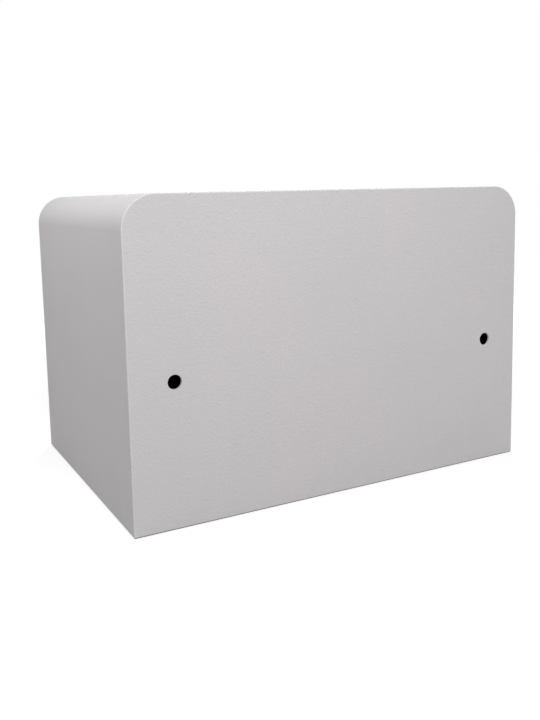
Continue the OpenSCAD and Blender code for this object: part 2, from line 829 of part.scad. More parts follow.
// Three leads to the board: from the keypad, from the solenoid and from the batteries. The three
// points at each end lie in line, so that a lead meets its socket squarely
module wire_loom() {
    coil_side = sol_x + coil_d / 2;
    coil_lead_z = sol_low + sol_leaf_t + coil_len / 2 + 1;
    socket_side = socket_x - socket[0] / 2;
    cell_v = tray_v + tray_floor + 5;
    color("#1d1e20") {
        tube(smooth([for (p = [[board_y + board_t, 0], [front_y, 0], [door_rear, 0],
                               [behind(5), 0], [behind(9.3), 2.5], [behind(lead_v), 7],
                               [behind(lead_v), 12], [behind(lead_v), 17]])
                     [loom_x, p[0], loom_z + p[1]]]), loom_d / 2);
        tube(smooth([[coil_side, behind(sol_v), coil_lead_z], [coil_side + 4, behind(sol_v), coil_lead_z],
                     [coil_side + 8, behind(sol_v), coil_lead_z], [lock_x, behind(lead_v), coil_lead_z],
                     [socket_side - 13, behind(lead_v), lead_z + 4],
                     [socket_side - 6, behind(lead_v), lead_z], [socket_side - 3, behind(lead_v), lead_z],
                     [socket_side, behind(lead_v), lead_z]]),
             lead_d / 2);
        tube(smooth([[tray_x[0], behind(cell_v), cell_lead_z], [tray_x[0] - 3, behind(cell_v), cell_lead_z],
                     [tray_x[0] - 6, behind(cell_v), cell_lead_z],
                     [tray_x[0] - 14, behind(cell_v - 4), cell_lead_z],
                     [tray_x[0] - 14, behind(cell_v - 11), cell_lead_z],
                     [socket_side - 8, behind(lead_v), cell_lead_z],
                     [socket_side - 4, behind(lead_v), cell_lead_z],
                     [socket_side, behind(lead_v), cell_lead_z]]), lead_d / 2);
    }
}

// Lock panel

function key_place(i) = [keys_x + (i % 3 - 1) * key_pitch_x, keys_z + (1.5 - floor(i / 3)) * key_pitch_z];

module keypad_housing() {
    face = panel_front + panel_wall;
    color(charcoal) difference() {
        union() {
            slab(panel_front, front_y) translate([panel_x, panel_z]) difference() {
                rounded(panel_w, panel_h, panel_r);
                rounded(panel_w - 2 * panel_wall, panel_h - 2 * panel_wall, panel_r - panel_wall);
            }
            slab(panel_front, face) translate([panel_x, panel_z])
                rounded(panel_w - panel_wall, panel_h - panel_wall, panel_r - panel_wall / 2);
            peg(lock_x, lock_z, face, front_y, recess_d + 2 * well_wall);
            for (p = boss_places) peg(p[0], p[1], face, front_y, boss_d);
            for (x = [board_x[0] + peg_d / 2 + 0.5, board_x[1] - peg_d / 2 - 0.5],
                 z = [board_z[0] + peg_d / 2 + 0.2, board_z[1] - led_row / 2])
                peg(x, z, face, board_y, peg_d);
        }
        for (i = [0:11]) slab(panel_front - 1, face + 0.1) translate(key_place(i))
            rounded(key_w + 2 * slack, key_h + 2 * slack, key_r + slack);
        peg(lock_x, lock_z, panel_front - 1, panel_front + recess_depth, recess_d);
        peg(lock_x, lock_z, panel_front, front_y + 1, barrel_d);
        peg(lock_x, lock_z + cap_arm, panel_front - 1, face + 1, cap_pivot_d + 2 * running);
        peg(lock_x, lock_z + cap_arm, face + 0.05, face + 2, cap_pivot_d + 2);
        for (i = [0:2]) peg(key_place(i)[0], led_z, panel_front - 1, face + 1, led_d);
        for (p = contact_places) peg(p[0], p[1], panel_front - 1, face + 1, contact_d);
        for (p = boss_places) peg(p[0], p[1], face + 1, front_y + 1, boss_screw_d);
    }
}

module housing_screws() {
    color(steel) for (p = boss_places) {
        peg(p[0], p[1], panel_front + panel_wall + 2, door_rear, boss_screw_d);
        peg(p[0], p[1], door_rear, behind(2.6), boss_screw_d + 3.5);
    }
}

// Springy sheet with a pad behind each key
module key_mat() {
    color("#5a5d61") {
        slab(mat_under + mat_pad, board_y) translate([keys_x, keys_z]) rounded(pad_w - 2, pad_h - 2, 2);
        for (i = [0:11]) peg(key_place(i)[0], key_place(i)[1], mat_under, mat_under + mat_pad, 8);
    }
}

module keypad_board() {
    color(board_green)
        block([board_x[0], board_y, board_z[0]], [board_x[1], board_y + board_t, board_z[1]]);
}

module status_leds() {
    color("#3fae5a") for (i = [0:2]) peg(key_place(i)[0], led_z, panel_front - 0.5, board_y, led_d);
}

// Two studs on which a spare battery can be held when the cells inside are flat
module power_contacts() {
    color("#c9a94f") for (p = contact_places) {
        peg(p[0], p[1], panel_front - 0.6, panel_front + panel_wall + 1, contact_d);
        peg(p[0], p[1], panel_front + panel_wall, panel_front + panel_wall + 1, contact_d + 3);
    }
}

module lock_barrel() {
    floor_y = panel_front + recess_depth;
    color(zinc) difference() {
        union() {
            peg(lock_x, lock_z, floor_y - barrel_flange_t, behind(barrel_v), barrel_d);
            peg(lock_x, lock_z, floor_y - barrel_flange_t, floor_y, barrel_d + 4);
        }
        peg(lock_x, lock_z, floor_y - barrel_flange_t - 1, behind(barrel_v + 1), plug_d + 2 * running);
    }
}

// Turning plug with its keyway and the square tail that holds the lever
module lock_plug() {
    front = panel_front + recess_depth - barrel_flange_t + 0.2;
    color("#c2a35a") difference() {
        union() {
            peg(lock_x, lock_z, front, behind(lever_v - 0.4), plug_d);
            slab(behind(lever_v - 0.4), behind(lever_v + lever_t + 0.4)) translate([lock_x, lock_z])
                square(tail_w, center = true);
        }
        slab(front - 1, front + plug_d) translate([lock_x, lock_z])
            square([keyway_w, plug_d - 4.5], center = true);
    }
}

// Lever that hangs down while locked and swings left under the plunger's collar
module cam_lever() {
    color(zinc) slab(behind(lever_v), behind(lever_v + lever_t)) translate([lock_x, lock_z]) difference() {
        union() {
            circle(d = lever_w + 4);
            rotate(-90) slot(0, lever_reach, 0, lever_w);
        }
        square(tail_w, center = true);
    }
}

// Cover that swings aside from the lock on a snap pivot
module lock_cap() {
    face = panel_front + panel_wall;
    pivot = [lock_x, lock_z + cap_arm];
    web = [[-cap_lobe_r, 0], [-cap_r + 2, -cap_arm + 4], [cap_r - 2, -cap_arm + 4], [cap_lobe_r, 0]];
    color(charcoal) {
        slab(panel_front - 0.2 - cap_t, panel_front - 0.2) {
            translate([lock_x, lock_z]) circle(r = cap_r);
            translate(pivot) circle(r = cap_lobe_r);
            translate(pivot) polygon(web);
        }
        peg(pivot[0], pivot[1], panel_front - 0.2, face + 0.1, cap_pivot_d);
        peg(pivot[0], pivot[1], face + 0.1, face + 1.2, cap_pivot_d + 1);
    }
}

module key_cap(i) {
    flange_y = panel_front + panel_wall + slack;
    color("#d9d9d6") translate([key_place(i)[0], 0, key_place(i)[1]]) {
        slab(panel_front - key_proud, flange_y) rounded(key_w, key_h, key_r);
        slab(flange_y, flange_y + key_flange_t)
            rounded(key_w + 2 * key_flange, key_h + 2 * key_flange, key_r);
    }
}

body_shell();
back_panel();
base_panel();
front_frame();
strike_angle();
jamb_strips();
hinge_brackets();
thrust_washer();
floor_mat();
door_plate();
hinge_blocks();
hinge_pins();
bolt_guide();
lock_cover();
cover_screws();
weld_studs();
slide_studs();
stud_clips();
solenoid_frame();
solenoid_coil();
solenoid_plunger();
plunger_spring();
control_board();
board_parts();
battery_tray();
battery_cells();
battery_contacts();
battery_lid();
reset_button();
wire_loom();
knob();
knob_bush();
knob_spindle();
cam_plate();
bolt_carrier();
locking_bolts();
bolt_screws();
keypad_housing();
housing_screws();
key_mat();
keypad_board();
status_leds();
power_contacts();
lock_barrel();
panel_nuts();
lock_plug();
cam_lever();
lock_cap();
for (i = [0:11]) key_cap(i);
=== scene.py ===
import json
import math
import bpy
from mathutils import Matrix, Vector

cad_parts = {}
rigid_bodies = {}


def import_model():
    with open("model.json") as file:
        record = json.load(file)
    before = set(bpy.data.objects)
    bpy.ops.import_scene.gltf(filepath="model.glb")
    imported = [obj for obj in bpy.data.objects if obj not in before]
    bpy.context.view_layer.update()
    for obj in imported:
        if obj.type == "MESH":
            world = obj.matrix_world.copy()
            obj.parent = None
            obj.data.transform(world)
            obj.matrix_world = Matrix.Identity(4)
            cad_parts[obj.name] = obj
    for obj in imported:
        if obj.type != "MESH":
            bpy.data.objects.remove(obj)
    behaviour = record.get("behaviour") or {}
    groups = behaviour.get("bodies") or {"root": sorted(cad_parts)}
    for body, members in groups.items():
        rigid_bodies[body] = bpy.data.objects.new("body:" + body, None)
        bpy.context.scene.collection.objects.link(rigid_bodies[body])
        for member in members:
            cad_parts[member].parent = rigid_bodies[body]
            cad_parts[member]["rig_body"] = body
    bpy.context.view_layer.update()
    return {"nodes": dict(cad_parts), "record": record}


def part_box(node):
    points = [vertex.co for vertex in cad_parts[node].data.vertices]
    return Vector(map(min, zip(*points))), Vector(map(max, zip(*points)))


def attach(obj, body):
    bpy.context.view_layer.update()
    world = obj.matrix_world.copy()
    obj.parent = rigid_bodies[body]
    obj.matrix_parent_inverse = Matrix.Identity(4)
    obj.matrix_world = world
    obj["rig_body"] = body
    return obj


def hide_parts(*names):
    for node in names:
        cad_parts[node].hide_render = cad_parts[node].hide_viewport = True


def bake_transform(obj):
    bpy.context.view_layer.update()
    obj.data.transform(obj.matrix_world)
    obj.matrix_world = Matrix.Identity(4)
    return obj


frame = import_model()
slotOf = {row["node"]: row["material_slot"] for row in frame["record"]["subparts"]}

# The camera stands behind the safe and to its +X side, as in the photo

camera = {
    "place": (0.35664535, 0.6445257, 0.24560524),
    "azimuth": 152.61502,
    "elevation": 7.21351,
    "roll": -1.35363,
    "lens": 38.6722,
    "sensor": 36,
    "shift": (0.0292134, -0.0903295),
    "clipStart": 0.01,
}


def placeCamera():
    bpy.ops.object.camera_add()
    seen = bpy.context.object
    seen.name = "photo_camera"
    seen.data.lens = camera["lens"]
    seen.data.sensor_width = camera["sensor"]
    seen.data.sensor_fit = "AUTO"
    seen.data.shift_x, seen.data.shift_y = camera["shift"]
    seen.data.clip_start = camera["clipStart"]
    turned = Matrix.Rotation(math.radians(camera["azimuth"]), 4, "Z")
    tipped = Matrix.Rotation(math.radians(90 - camera["elevation"]), 4, "X")
    rolled = Matrix.Rotation(math.radians(camera["roll"]), 4, "Z")
    seen.matrix_world = Matrix.Translation(camera["place"]) @ turned @ tipped @ rolled
    bpy.context.scene.camera = seen


placeCamera()
print("camera placed")

# Selecting, modifiers and edit mode

fit = {
    "near": 2e-5,  # measures this close count as equal
    "edge": 1e-4,  # an edge this long runs along its axis
    "facing": 0.99,  # least share of a face's normal that points the way asked for
    "past": 0.001,  # how far a cutter reaches past the face it opens
    "merge": 1e-6,  # corners this close become one
    "flatAngle": 0.6,  # and so do faces that turn by less than this
}
smoothing = {"usual": 35, "knob": 32, "small": 40, "wide": 50, "domed": 60, "faceWeight": 80}


def pickUp(piece):
    if bpy.context.object and bpy.context.object.mode != "OBJECT":
        bpy.ops.object.mode_set(mode="OBJECT")
    bpy.ops.object.select_all(action="DESELECT")
    piece.select_set(True)
    bpy.context.view_layer.objects.active = piece
    return piece


def applyModifier(piece, kind, **settings):
    pickUp(piece)
    modifier = piece.modifiers.new(kind.lower(), kind)
    for setting, value in settings.items():
        setattr(modifier, setting, value)
    bpy.ops.object.modifier_apply(modifier=modifier.name)
    return piece


# Edit mode with only the faces or the edges picked that pass the test
def editWith(piece, faces=None, edges=None):
    pickUp(piece)
    bpy.ops.object.mode_set(mode="EDIT")
    bpy.ops.mesh.select_mode(type="FACE" if faces else "EDGE")
    bpy.ops.mesh.select_all(action="DESELECT")
    bpy.ops.object.mode_set(mode="OBJECT")
    mesh = piece.data
    for face in mesh.polygons if faces else []:
        face.select = bool(faces(face.center, face.normal))
    for edge in mesh.edges if edges else []:
        ends = [mesh.vertices[i].co for i in edge.vertices]
        edge.select = bool(edges(*ends))
    bpy.ops.object.mode_set(mode="EDIT")


def leaveEdit():
    bpy.ops.object.mode_set(mode="OBJECT")


def near(a, b, gap=fit["near"]):
    return abs(a - b) < gap


# Tests for edges, by the places of their two ends, and for faces, by their centre and normal


def along(axis):
    return lambda a, b: abs(getattr(a, axis) - getattr(b, axis)) > fit["edge"]


def lyingAt(axis, place):
    return lambda a, b: near(getattr(a, axis), place) and near(getattr(b, axis), place)


def facing(*way):
    return lambda centre, normal: normal.dot(Vector(way)) > fit["facing"]


def everyFace(centre, normal):
    return True


def bevelEdges(piece, edges, width, segments=3):
    editWith(piece, edges=edges)
    bpy.ops.mesh.bevel(offset=width, segments=segments, profile=0.5, clamp_overlap=True)
    leaveEdit()
    return piece


def bakePlace(piece):
    pickUp(piece)
    bpy.ops.object.transform_apply(location=True, rotation=True, scale=True)
    return piece


def addBlock(low, high):
    low, high = Vector(low), Vector(high)
    bpy.ops.object.select_all(action="DESELECT")
    bpy.ops.mesh.primitive_cube_add(size=1, location=(low + high) / 2)
    block = bpy.context.object
    block.scale = high - low
    return bakePlace(block)


# A round bar from one point to another
def addRound(start, end, radius, sides=48):
    start, end = Vector(start), Vector(end)
    span = end - start
    bpy.ops.object.select_all(action="DESELECT")
    bpy.ops.mesh.primitive_cylinder_add(vertices=sides, radius=radius, depth=span.length,
                                        location=(start + end) / 2)
    bar = bpy.context.object
    bar.rotation_euler = span.to_track_quat("Z", "Y").to_euler()
    return bakePlace(bar)


def cutAway(piece, cutter, operation="DIFFERENCE", solver="EXACT"):
    applyModifier(piece, "BOOLEAN", object=cutter, operation=operation, solver=solver)
    bpy.data.objects.remove(cutter)
    return piece


def joinPieces(pieces):
    pickUp(pieces[0])
    for piece in pieces:
        piece.select_set(True)
    bpy.ops.object.join()
    return bpy.context.object


def copyTo(piece, offset):
    pickUp(piece)
    bpy.ops.object.duplicate()
    twin = bpy.context.object
    twin.location = offset
    return bakePlace(twin)


def centreOf(node):
    low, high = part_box(node)
    return (low + high) / 2


def smoothFinish(piece, kind="usual"):
    pickUp(piece)
    bpy.ops.object.shade_smooth_by_angle(angle=math.radians(smoothing[kind]))
    return applyModifier(piece, "WEIGHTED_NORMAL", keep_sharp=True, weight=smoothing["faceWeight"])


def breakEdges(piece, width, segments, angle=30):
    applyModifier(piece, "BEVEL", width=width, segments=segments, limit_method="ANGLE",
                  angle_limit=math.radians(angle), use_clamp_overlap=True)
    return smoothFinish(piece)


# The piece takes the place of its CAD node: same body, same slot of the record
def standFor(piece, node, name):
    piece.name = name
    piece.data.name = name
    if not piece.data.materials:
        piece.data.materials.append(finishes[slotOf[node]])
    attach(piece, frame["nodes"][node]["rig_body"])
    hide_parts(node)
    return piece


# A copy of a CAD node with its loose triangles merged into whole faces
def copyNode(node):
    piece = bpy.data.objects.new(node + "_copy", frame["nodes"][node].data.copy())
    bpy.context.scene.collection.objects.link(piece)
    piece.data.materials.clear()
    pickUp(piece)
    bpy.ops.mesh.customdata_custom_splitnormals_clear()
    editWith(piece, faces=everyFace)
    bpy.ops.mesh.remove_doubles(threshold=fit["merge"])
    bpy.ops.mesh.dissolve_limited(angle_limit=math.radians(fit["flatAngle"]), delimit={"NORMAL"})
    leaveEdit()
    return piece


# Surface finishes


def shaderOf(finish):
    return finish.node_tree.nodes["Principled BSDF"]


def newFinish(name, colour, roughness, metallic=0.0, **sockets):
    finish = bpy.data.materials.new(name)
    finish.use_nodes = True
    given = {"Base Color": (*colour, 1), "Roughness": roughness, "Metallic": metallic, **sockets}
    for socket, value in given.items():
        shaderOf(finish).inputs[socket].default_value = value
    return finish


def addNode(finish, kind, **inputs):
    node = finish.node_tree.nodes.new(kind)
    for socket, value in inputs.items():
        node.inputs[socket].default_value = value
    return node


def link(finish, output, target):
    finish.node_tree.links.new(output, target)


def objectPlaces(finish, scale=(1, 1, 1), turn=(0, 0, 0)):
    places = addNode(finish, "ShaderNodeTexCoord")
    mapping = addNode(finish, "ShaderNodeMapping", Scale=scale, Rotation=turn)
    link(finish, places.outputs["Object"], mapping.inputs["Vector"])
    return mapping.outputs["Vector"]


def noisePattern(finish, places, scale, detail=2.0, roughness=0.5):
    noise = addNode(finish, "ShaderNodeTexNoise", Scale=scale, Detail=detail, Roughness=roughness)
    link(finish, places, noise.inputs["Vector"])
    return noise.outputs["Fac"]


def tintBy(finish, pattern, darker, lighter, low=0.35, high=0.65):
    ramp = addNode(finish, "ShaderNodeValToRGB")
    for stop, place, colour in zip(ramp.color_ramp.elements, (low, high), (darker, lighter)):
        stop.position = place
        stop.color = (*colour, 1)
    link(finish, pattern, ramp.inputs["Fac"])
    link(finish, ramp.outputs["Color"], shaderOf(finish).inputs["Base Color"])


def roughenBy(finish, pattern, low, high):
    spread = addNode(finish, "ShaderNodeMapRange", **{"To Min": low, "To Max": high})
    link(finish, pattern, spread.inputs["Value"])
    link(finish, spread.outputs["Result"], shaderOf(finish).inputs["Roughness"])


def raiseBy(finish, pattern, height, under=None):
    bump = addNode(finish, "ShaderNodeBump", Strength=1.0, Distance=height)
    link(finish, pattern, bump.inputs["Height"])
    if under:
        link(finish, under, bump.inputs["Normal"])
    link(finish, bump.outputs["Normal"], shaderOf(finish).inputs["Normal"])
    return bump.outputs["Normal"]


# Each pattern is a noise: scale, detail, roughness. Each peel is the size and height of its waves
powderCoat = {
    "coolTint": (0.554, 0.541, 0.542),
    "warmTint": (0.576, 0.550, 0.560),
    "roughness": (0.50, 0.60),
    "gloss": {"Specular IOR Level": 0.20},
    "tonePattern": (9, 3),
    "roughPattern": (60, 4),
    "peel": (0.0028, 0.00017),
    "backPeel": (0.0018, 0.00032),
    "thinPeel": (0.0028, 0.00006),
    "peelDetail": (1.5, 0.4),
    "grainSize": 0.0007,
    "grainDetail": 2,
    "grainHeight": 0.00001,
    # Painted highlight: how much lighter the paint on the rounded rear edge and the tack beads is
    "edgeHighlight": 1.10,
    # Painted shade: how much darker the paint under the rear plate's foot edge is
    "footShade": 0.25,
}


# The share lightens or darkens both tints: above 1 for a painted highlight on the rounded rear edge, below 1
# for painted shade under its foot
def makeCasingPaint(name, share=1.0, peel="peel"):
    coolTint, warmTint = ([share * c for c in powderCoat[tint]] for tint in ("coolTint", "warmTint"))
    paint = newFinish(name, warmTint, powderCoat["roughness"][0], **powderCoat["gloss"])
    places = objectPlaces(paint)
    tintBy(paint, noisePattern(paint, places, *powderCoat["tonePattern"]), coolTint, warmTint)
    roughenBy(paint, noisePattern(paint, places, *powderCoat["roughPattern"]), *powderCoat["roughness"])
    grain = noisePattern(paint, places, 1 / powderCoat["grainSize"], powderCoat["grainDetail"])
    fine = raiseBy(paint, grain, powderCoat["grainHeight"])
    size, height = powderCoat[peel]
    raiseBy(paint, noisePattern(paint, places, 1 / size, *powderCoat["peelDetail"]), height, under=fine)
    return paint


platingLook = {
    "tonePattern": (45, 4, 0.6),
    "toneRange": (0.3, 0.7),
    "strokePattern": (900, 3, 0.6),
    "strokeDepth": 0.000012,
}


def makePlating(name, darker, lighter, roughness, brushing=(1, 1, 1)):
    plating = newFinish(name, lighter, roughness[0], 1.0)
    tones = noisePattern(plating, objectPlaces(plating), *platingLook["tonePattern"])
    tintBy(plating, tones, darker, lighter, *platingLook["toneRange"])
    strokes = noisePattern(plating, objectPlaces(plating, brushing), *platingLook["strokePattern"])
    roughenBy(plating, strokes, *roughness)
    raiseBy(plating, strokes, platingLook["strokeDepth"])
    return plating


turnedLook = {
    "tonePattern": (60, 3),
    "toneRange": (0.3, 0.7),
    "rings": {"Scale": 420, "Distortion": 1.5, "Detail": 2},
    "ringDepth": 0.000003,
}


# Rings left by the lathe, square to X
def makeTurned(name, darker, lighter, roughness):
    turned = newFinish(name, lighter, roughness[0], 1.0)
    places = objectPlaces(turned)
    tones = noisePattern(turned, places, *turnedLook["tonePattern"])
    tintBy(turned, tones, darker, lighter, *turnedLook["toneRange"])
    rings = addNode(turned, "ShaderNodeTexWave", **turnedLook["rings"])
    rings.bands_direction = "X"
    link(turned, places, rings.inputs["Vector"])
    roughenBy(turned, rings.outputs["Fac"], *roughness)
    raiseBy(turned, rings.outputs["Fac"], turnedLook["ringDepth"])
    return turned


mouldedLook = {"tonePattern": (25, 3), "grainDetail": 3}


def makeMoulded(name, darker, lighter, roughness, grainSize, grainHeight):
    moulded = newFinish(name, lighter, roughness[0])
    places = objectPlaces(moulded)
    tintBy(moulded, noisePattern(moulded, places, *mouldedLook["tonePattern"]), darker, lighter)
    grain = noisePattern(moulded, places, 1 / grainSize, mouldedLook["grainDetail"])
    roughenBy(moulded, grain, *roughness)
    raiseBy(moulded, grain, grainHeight)
    return moulded


boardLook = {
    "mask": (0.010, 0.105, 0.045),
    "copperUnder": (0.022, 0.190, 0.085),
    "roughness": 0.3,
    "gloss": {"Coat Weight": 0.4, "Coat Roughness": 0.15},
    "rowWidth": 0.0045,
    "trackWidth": 0.09,
    "step": 0.37,
    "stretch": 1.7,
    "trackHeight": 0.00003,
}


# Green solder mask over copper tracks that run in steps
def makeBoardLaminate():
    board = newFinish("board_laminate", boardLook["mask"], boardLook["roughness"], **boardLook["gloss"])
    places = objectPlaces(board, turn=(math.radians(90), 0, 0))
    mask, copper = (*boardLook["mask"], 1), (*boardLook["copperUnder"], 1)
    tracks = addNode(board, "ShaderNodeTexBrick", Scale=1 / boardLook["rowWidth"], Color1=mask, Color2=mask,
                     Mortar=copper, **{"Mortar Size": boardLook["trackWidth"]})
    tracks.offset = boardLook["step"]
    tracks.squash = boardLook["stretch"]
    link(board, places, tracks.inputs["Vector"])
    link(board, tracks.outputs["Color"], shaderOf(board).inputs["Base Color"])
    raiseBy(board, tracks.outputs["Fac"], boardLook["trackHeight"])
    return board


coilTape = {
    "dark": (0.30, 0.10, 0.03),
    "light": (0.46, 0.19, 0.06),
    "roughness": 0.35,
    "turns": {"Scale": 60, "Distortion": 0.6, "Detail": 1},
    "lap": 0.0001,
}


# Tape wound round the coil, each turn lapping the last
def makeCoilTape():
    tape = newFinish("coil_tape", coilTape["light"], coilTape["roughness"])
    turns = addNode(tape, "ShaderNodeTexWave", **coilTape["turns"])
    turns.wave_profile = "SAW"
    turns.bands_direction = "Z"
    link(tape, objectPlaces(tape), turns.inputs["Vector"])
    tintBy(tape, turns.outputs["Fac"], coilTape["dark"], coilTape["light"], 0.0, 1.0)
    raiseBy(tape, turns.outputs["Fac"], coilTape["lap"])
    return tape


feltLook = {
    "dark": (0.030, 0.032, 0.036),
    "light": (0.062, 0.065, 0.071),
    "toneRange": (0.3, 0.7),
    "roughness": 0.95,
    "sheen": {"Sheen Weight": 0.5, "Sheen Roughness": 0.6},
    "hair": 0.0006,
    "hairDetail": (6, 0.75),
    "hairHeight": 0.0003,
    "tuftPattern": (160, 3),
    "tuftHeight": 0.0004,
}


def makeFelt():
    felt = newFinish("felt", feltLook["light"], feltLook["roughness"], **feltLook["sheen"])
    places = objectPlaces(felt)
    hairs = noisePattern(felt, places, 1 / feltLook["hair"], *feltLook["hairDetail"])
    tintBy(felt, hairs, feltLook["dark"], feltLook["light"], *feltLook["toneRange"])
    matted = raiseBy(felt, hairs, feltLook["hairHeight"])
    raiseBy(felt, noisePattern(felt, places, *feltLook["tuftPattern"]), feltLook["tuftHeight"], under=matted)
    return felt


lensLook = {
    "colour": (0.10, 0.52, 0.16),
    "darker": 0.8,
    "clearness": {"Transmission Weight": 0.55, "IOR": 1.5},
    "roughness": (0.12, 0.3),
    "tonePattern": (700, 2),
    "roughPattern": (900, 2),
}


def makeLens():
    colour = lensLook["colour"]
    lens = newFinish("led_lens", colour, lensLook["roughness"][0], **lensLook["clearness"])
    places = objectPlaces(lens)
    tones = noisePattern(lens, places, *lensLook["tonePattern"])
    tintBy(lens, tones, [lensLook["darker"] * c for c in colour], colour)
    roughenBy(lens, noisePattern(lens, places, *lensLook["roughPattern"]), *lensLook["roughness"])
    return lens


# Darker tone, lighter tone, lowest and highest roughness, and the way a brushed one is brushed
platings = {
    "zinc_plate": ((0.40, 0.42, 0.45), (0.52, 0.53, 0.55), (0.30, 0.46)),
    "bright_steel": ((0.40, 0.41, 0.42), (0.50, 0.50, 0.51), (0.34, 0.46)),
    "knob_metal": ((0.42, 0.42, 0.43), (0.52, 0.52, 0.53), (0.28, 0.38), (0.03, 1, 1)),
    "plug_brass": ((0.56, 0.42, 0.18), (0.72, 0.56, 0.27), (0.22, 0.36)),
    "contact_gold": ((0.58, 0.43, 0.16), (0.68, 0.52, 0.22), (0.22, 0.32)),
}
# The same, with the size and height of the grain
plastics = {
    "clip_black": ((0.028, 0.028, 0.030), (0.05, 0.05, 0.053), (0.35, 0.5), 0.0006, 2e-5),
    "panel_plastic": ((0.021, 0.023, 0.025), (0.028, 0.030, 0.033), (0.36, 0.5), 0.0007, 4e-5),
    "tray_plastic": ((0.022, 0.022, 0.024), (0.032, 0.032, 0.034), (0.4, 0.55), 0.0009, 4e-5),
    "key_plastic": ((0.66, 0.66, 0.64), (0.71, 0.71, 0.69), (0.38, 0.5), 0.0006, 2e-5),
    "key_rubber": ((0.085, 0.09, 0.095), (0.115, 0.12, 0.125), (0.6, 0.75), 0.0005, 2e-5),
    "lead_rubber": ((0.012, 0.012, 0.013), (0.022, 0.022, 0.024), (0.45, 0.6), 0.001, 3e-5),
    "board_parts_plastic": ((0.03, 0.03, 0.03), (0.045, 0.045, 0.048), (0.35, 0.5), 0.0005, 2e-5),
    "cell_sleeve": ((0.03, 0.13, 0.33), (0.045, 0.17, 0.40), (0.22, 0.32), 0.002, 1e-5),
    "cell_band": ((0.52, 0.26, 0.11), (0.62, 0.33, 0.15), (0.25, 0.35), 0.002, 1e-5),
    "reset_red": ((0.40, 0.018, 0.014), (0.50, 0.025, 0.018), (0.3, 0.42), 0.0008, 2e-5),
    "print_ink": ((0.035, 0.037, 0.04), (0.05, 0.052, 0.055), (0.4, 0.5), 0.0004, 5e-6),
    "pointer_white": ((0.70, 0.70, 0.69), (0.78, 0.78, 0.77), (0.35, 0.45), 0.0004, 5e-6),
}
finishes = {
    "casing_paint": makeCasingPaint("casing_paint"),
    # Lighter paint: a painted highlight on the rounded rear edge and the tack beads
    "casing_paint_highlight": makeCasingPaint("casing_paint_highlight", powderCoat["edgeHighlight"], "thinPeel"),
    "casing_paint_back": makeCasingPaint("casing_paint_back", peel="backPeel"),
    # Darker paint: painted shade along the underside of the rear plate's foot edge
    "casing_paint_foot_shade": makeCasingPaint("casing_paint_foot_shade", powderCoat["footShade"], "thinPeel"),
    "bolt_nickel": makeTurned("bolt_nickel", (0.50, 0.50, 0.49), (0.60, 0.59, 0.57), (0.18, 0.30)),
    "board_laminate": makeBoardLaminate(),
    "coil_tape": makeCoilTape(),
    "led_lens": makeLens(),
    "felt": makeFelt(),
}
finishes.update({name: makePlating(name, *look) for name, look in platings.items()})
finishes.update({name: makeMoulded(name, *look) for name, look in plastics.items()})
print("finishes mixed:", len(finishes))


def paintFaces(piece, finish, faces):
    piece.data.materials.append(finishes[finish])
    last = len(piece.data.materials) - 1
    for face in piece.data.polygons:
        if faces(face.center, face.normal):
            face.material_index = last
    return piece


# Sheet metal, machined and moulded pieces whose CAD shape is right: only their edges are broken.
# Width and steps of the bevel

brokenEdges = {
    "base_panel": (0.0003, 2),
    "strike_angle": (0.0005, 3),
    "jamb_strips": (0.0004, 2),
    "hinge_brackets": (0.0004, 2),
    "thrust_washer": (0.0002, 2),
    "hinge_blocks": (0.0006, 3),
    "hinge_pins": (0.0006, 3),
    "bolt_guide": (0.0004, 2),
    "weld_studs": (0.0003, 2),
    "slide_studs": (0.0003, 2),
    "stud_clips": (0.0002, 2),
    "solenoid_frame": (0.0003, 2),
    "solenoid_coil": (0.0004, 2),
    "solenoid_plunger": (0.0004, 2),
    "control_board": (0.0002, 1),
    "battery_tray": (0.0004, 2),
    "battery_lid": (0.0003, 2),
    "reset_button": (0.0004, 3),
    "knob_bush": (0.0004, 3),
    "knob_spindle": (0.0003, 2),
    "cam_plate": (0.0003, 2),
    "bolt_carrier": (0.0003, 2),
    "locking_bolts": (0.0004, 3),
    "key_mat": (0.0003, 2),
    "keypad_board": (0.0002, 1),
    "power_contacts": (0.0006, 3),
    "lock_barrel": (0.0004, 3),
    "panel_nuts": (0.0004, 2),
    "lock_plug": (0.0003, 2),
    "cam_lever": (0.0003, 2),
    "front_frame": (0.0006, 3),
    "door_plate": (0.0008, 3),
    "lock_cover": (0.0009, 3),
}

for node, (width, segments) in brokenEdges.items():
    standFor(breakEdges(copyNode(node), width, segments), node, node + "_finished")
standFor(smoothFinish(copyNode("wire_loom"), "domed"), "wire_loom", "wire_loom_finished")
print("edges broken on", len(brokenEdges), "pieces")

# Casing: one sheet bent over the top, and a back plate welded on, whose outer edge is ground round

casing = {
    "topCorner": 0.026,
    "cornerSteps": 24,
    "footCorner": 0.0014,
    "footSteps": 4,
    "sheet": 0.002,
    "sheetGap": 3e-4,
    "frontRound": 0.0007,
    "frontSteps": 3,
    "rearRound": 0.0009,
    "rearSteps": 5,
    "groundEdge": (0.1, 0.99),  # how far a face's normal points backwards on the ground edge
    "holeRadius": 0.0055,
    "holeRound": 0.0004,
    "holePlace": (0.1515, 0.1125),
    "tackLength": 0.0034,
    "tackInset": 0.64,  # this and the next two are shares of rearRound
    "tackRadius": 0.62,
    "tackRound": 0.5,
    "tackSides": 16,
    "sideTacks": (0.131, 0.101),
    "topTacks": (0.100, -0.086),
}


def archedBlock(low, high):
    atTop = lambda a, b: along("y")(a, b) and near(a.z, high.z)
    return bevelEdges(addBlock(low, high), atTop, casing["topCorner"], casing["cornerSteps"])


# Tack welds ground down along the rear edge show as small beads under the paint
def addTack(start, end):
    bead = addRound(start, end, casing["rearRound"] * casing["tackRadius"], casing["tackSides"])
    atEnds = lambda a, b: (a - b).length < casing["tackLength"] / 2
    bevelEdges(bead, atEnds, casing["rearRound"] * casing["tackRound"])
    # The beads take the lighter paint: a painted highlight
    bead.data.materials.append(finishes["casing_paint_highlight"])
    return bead


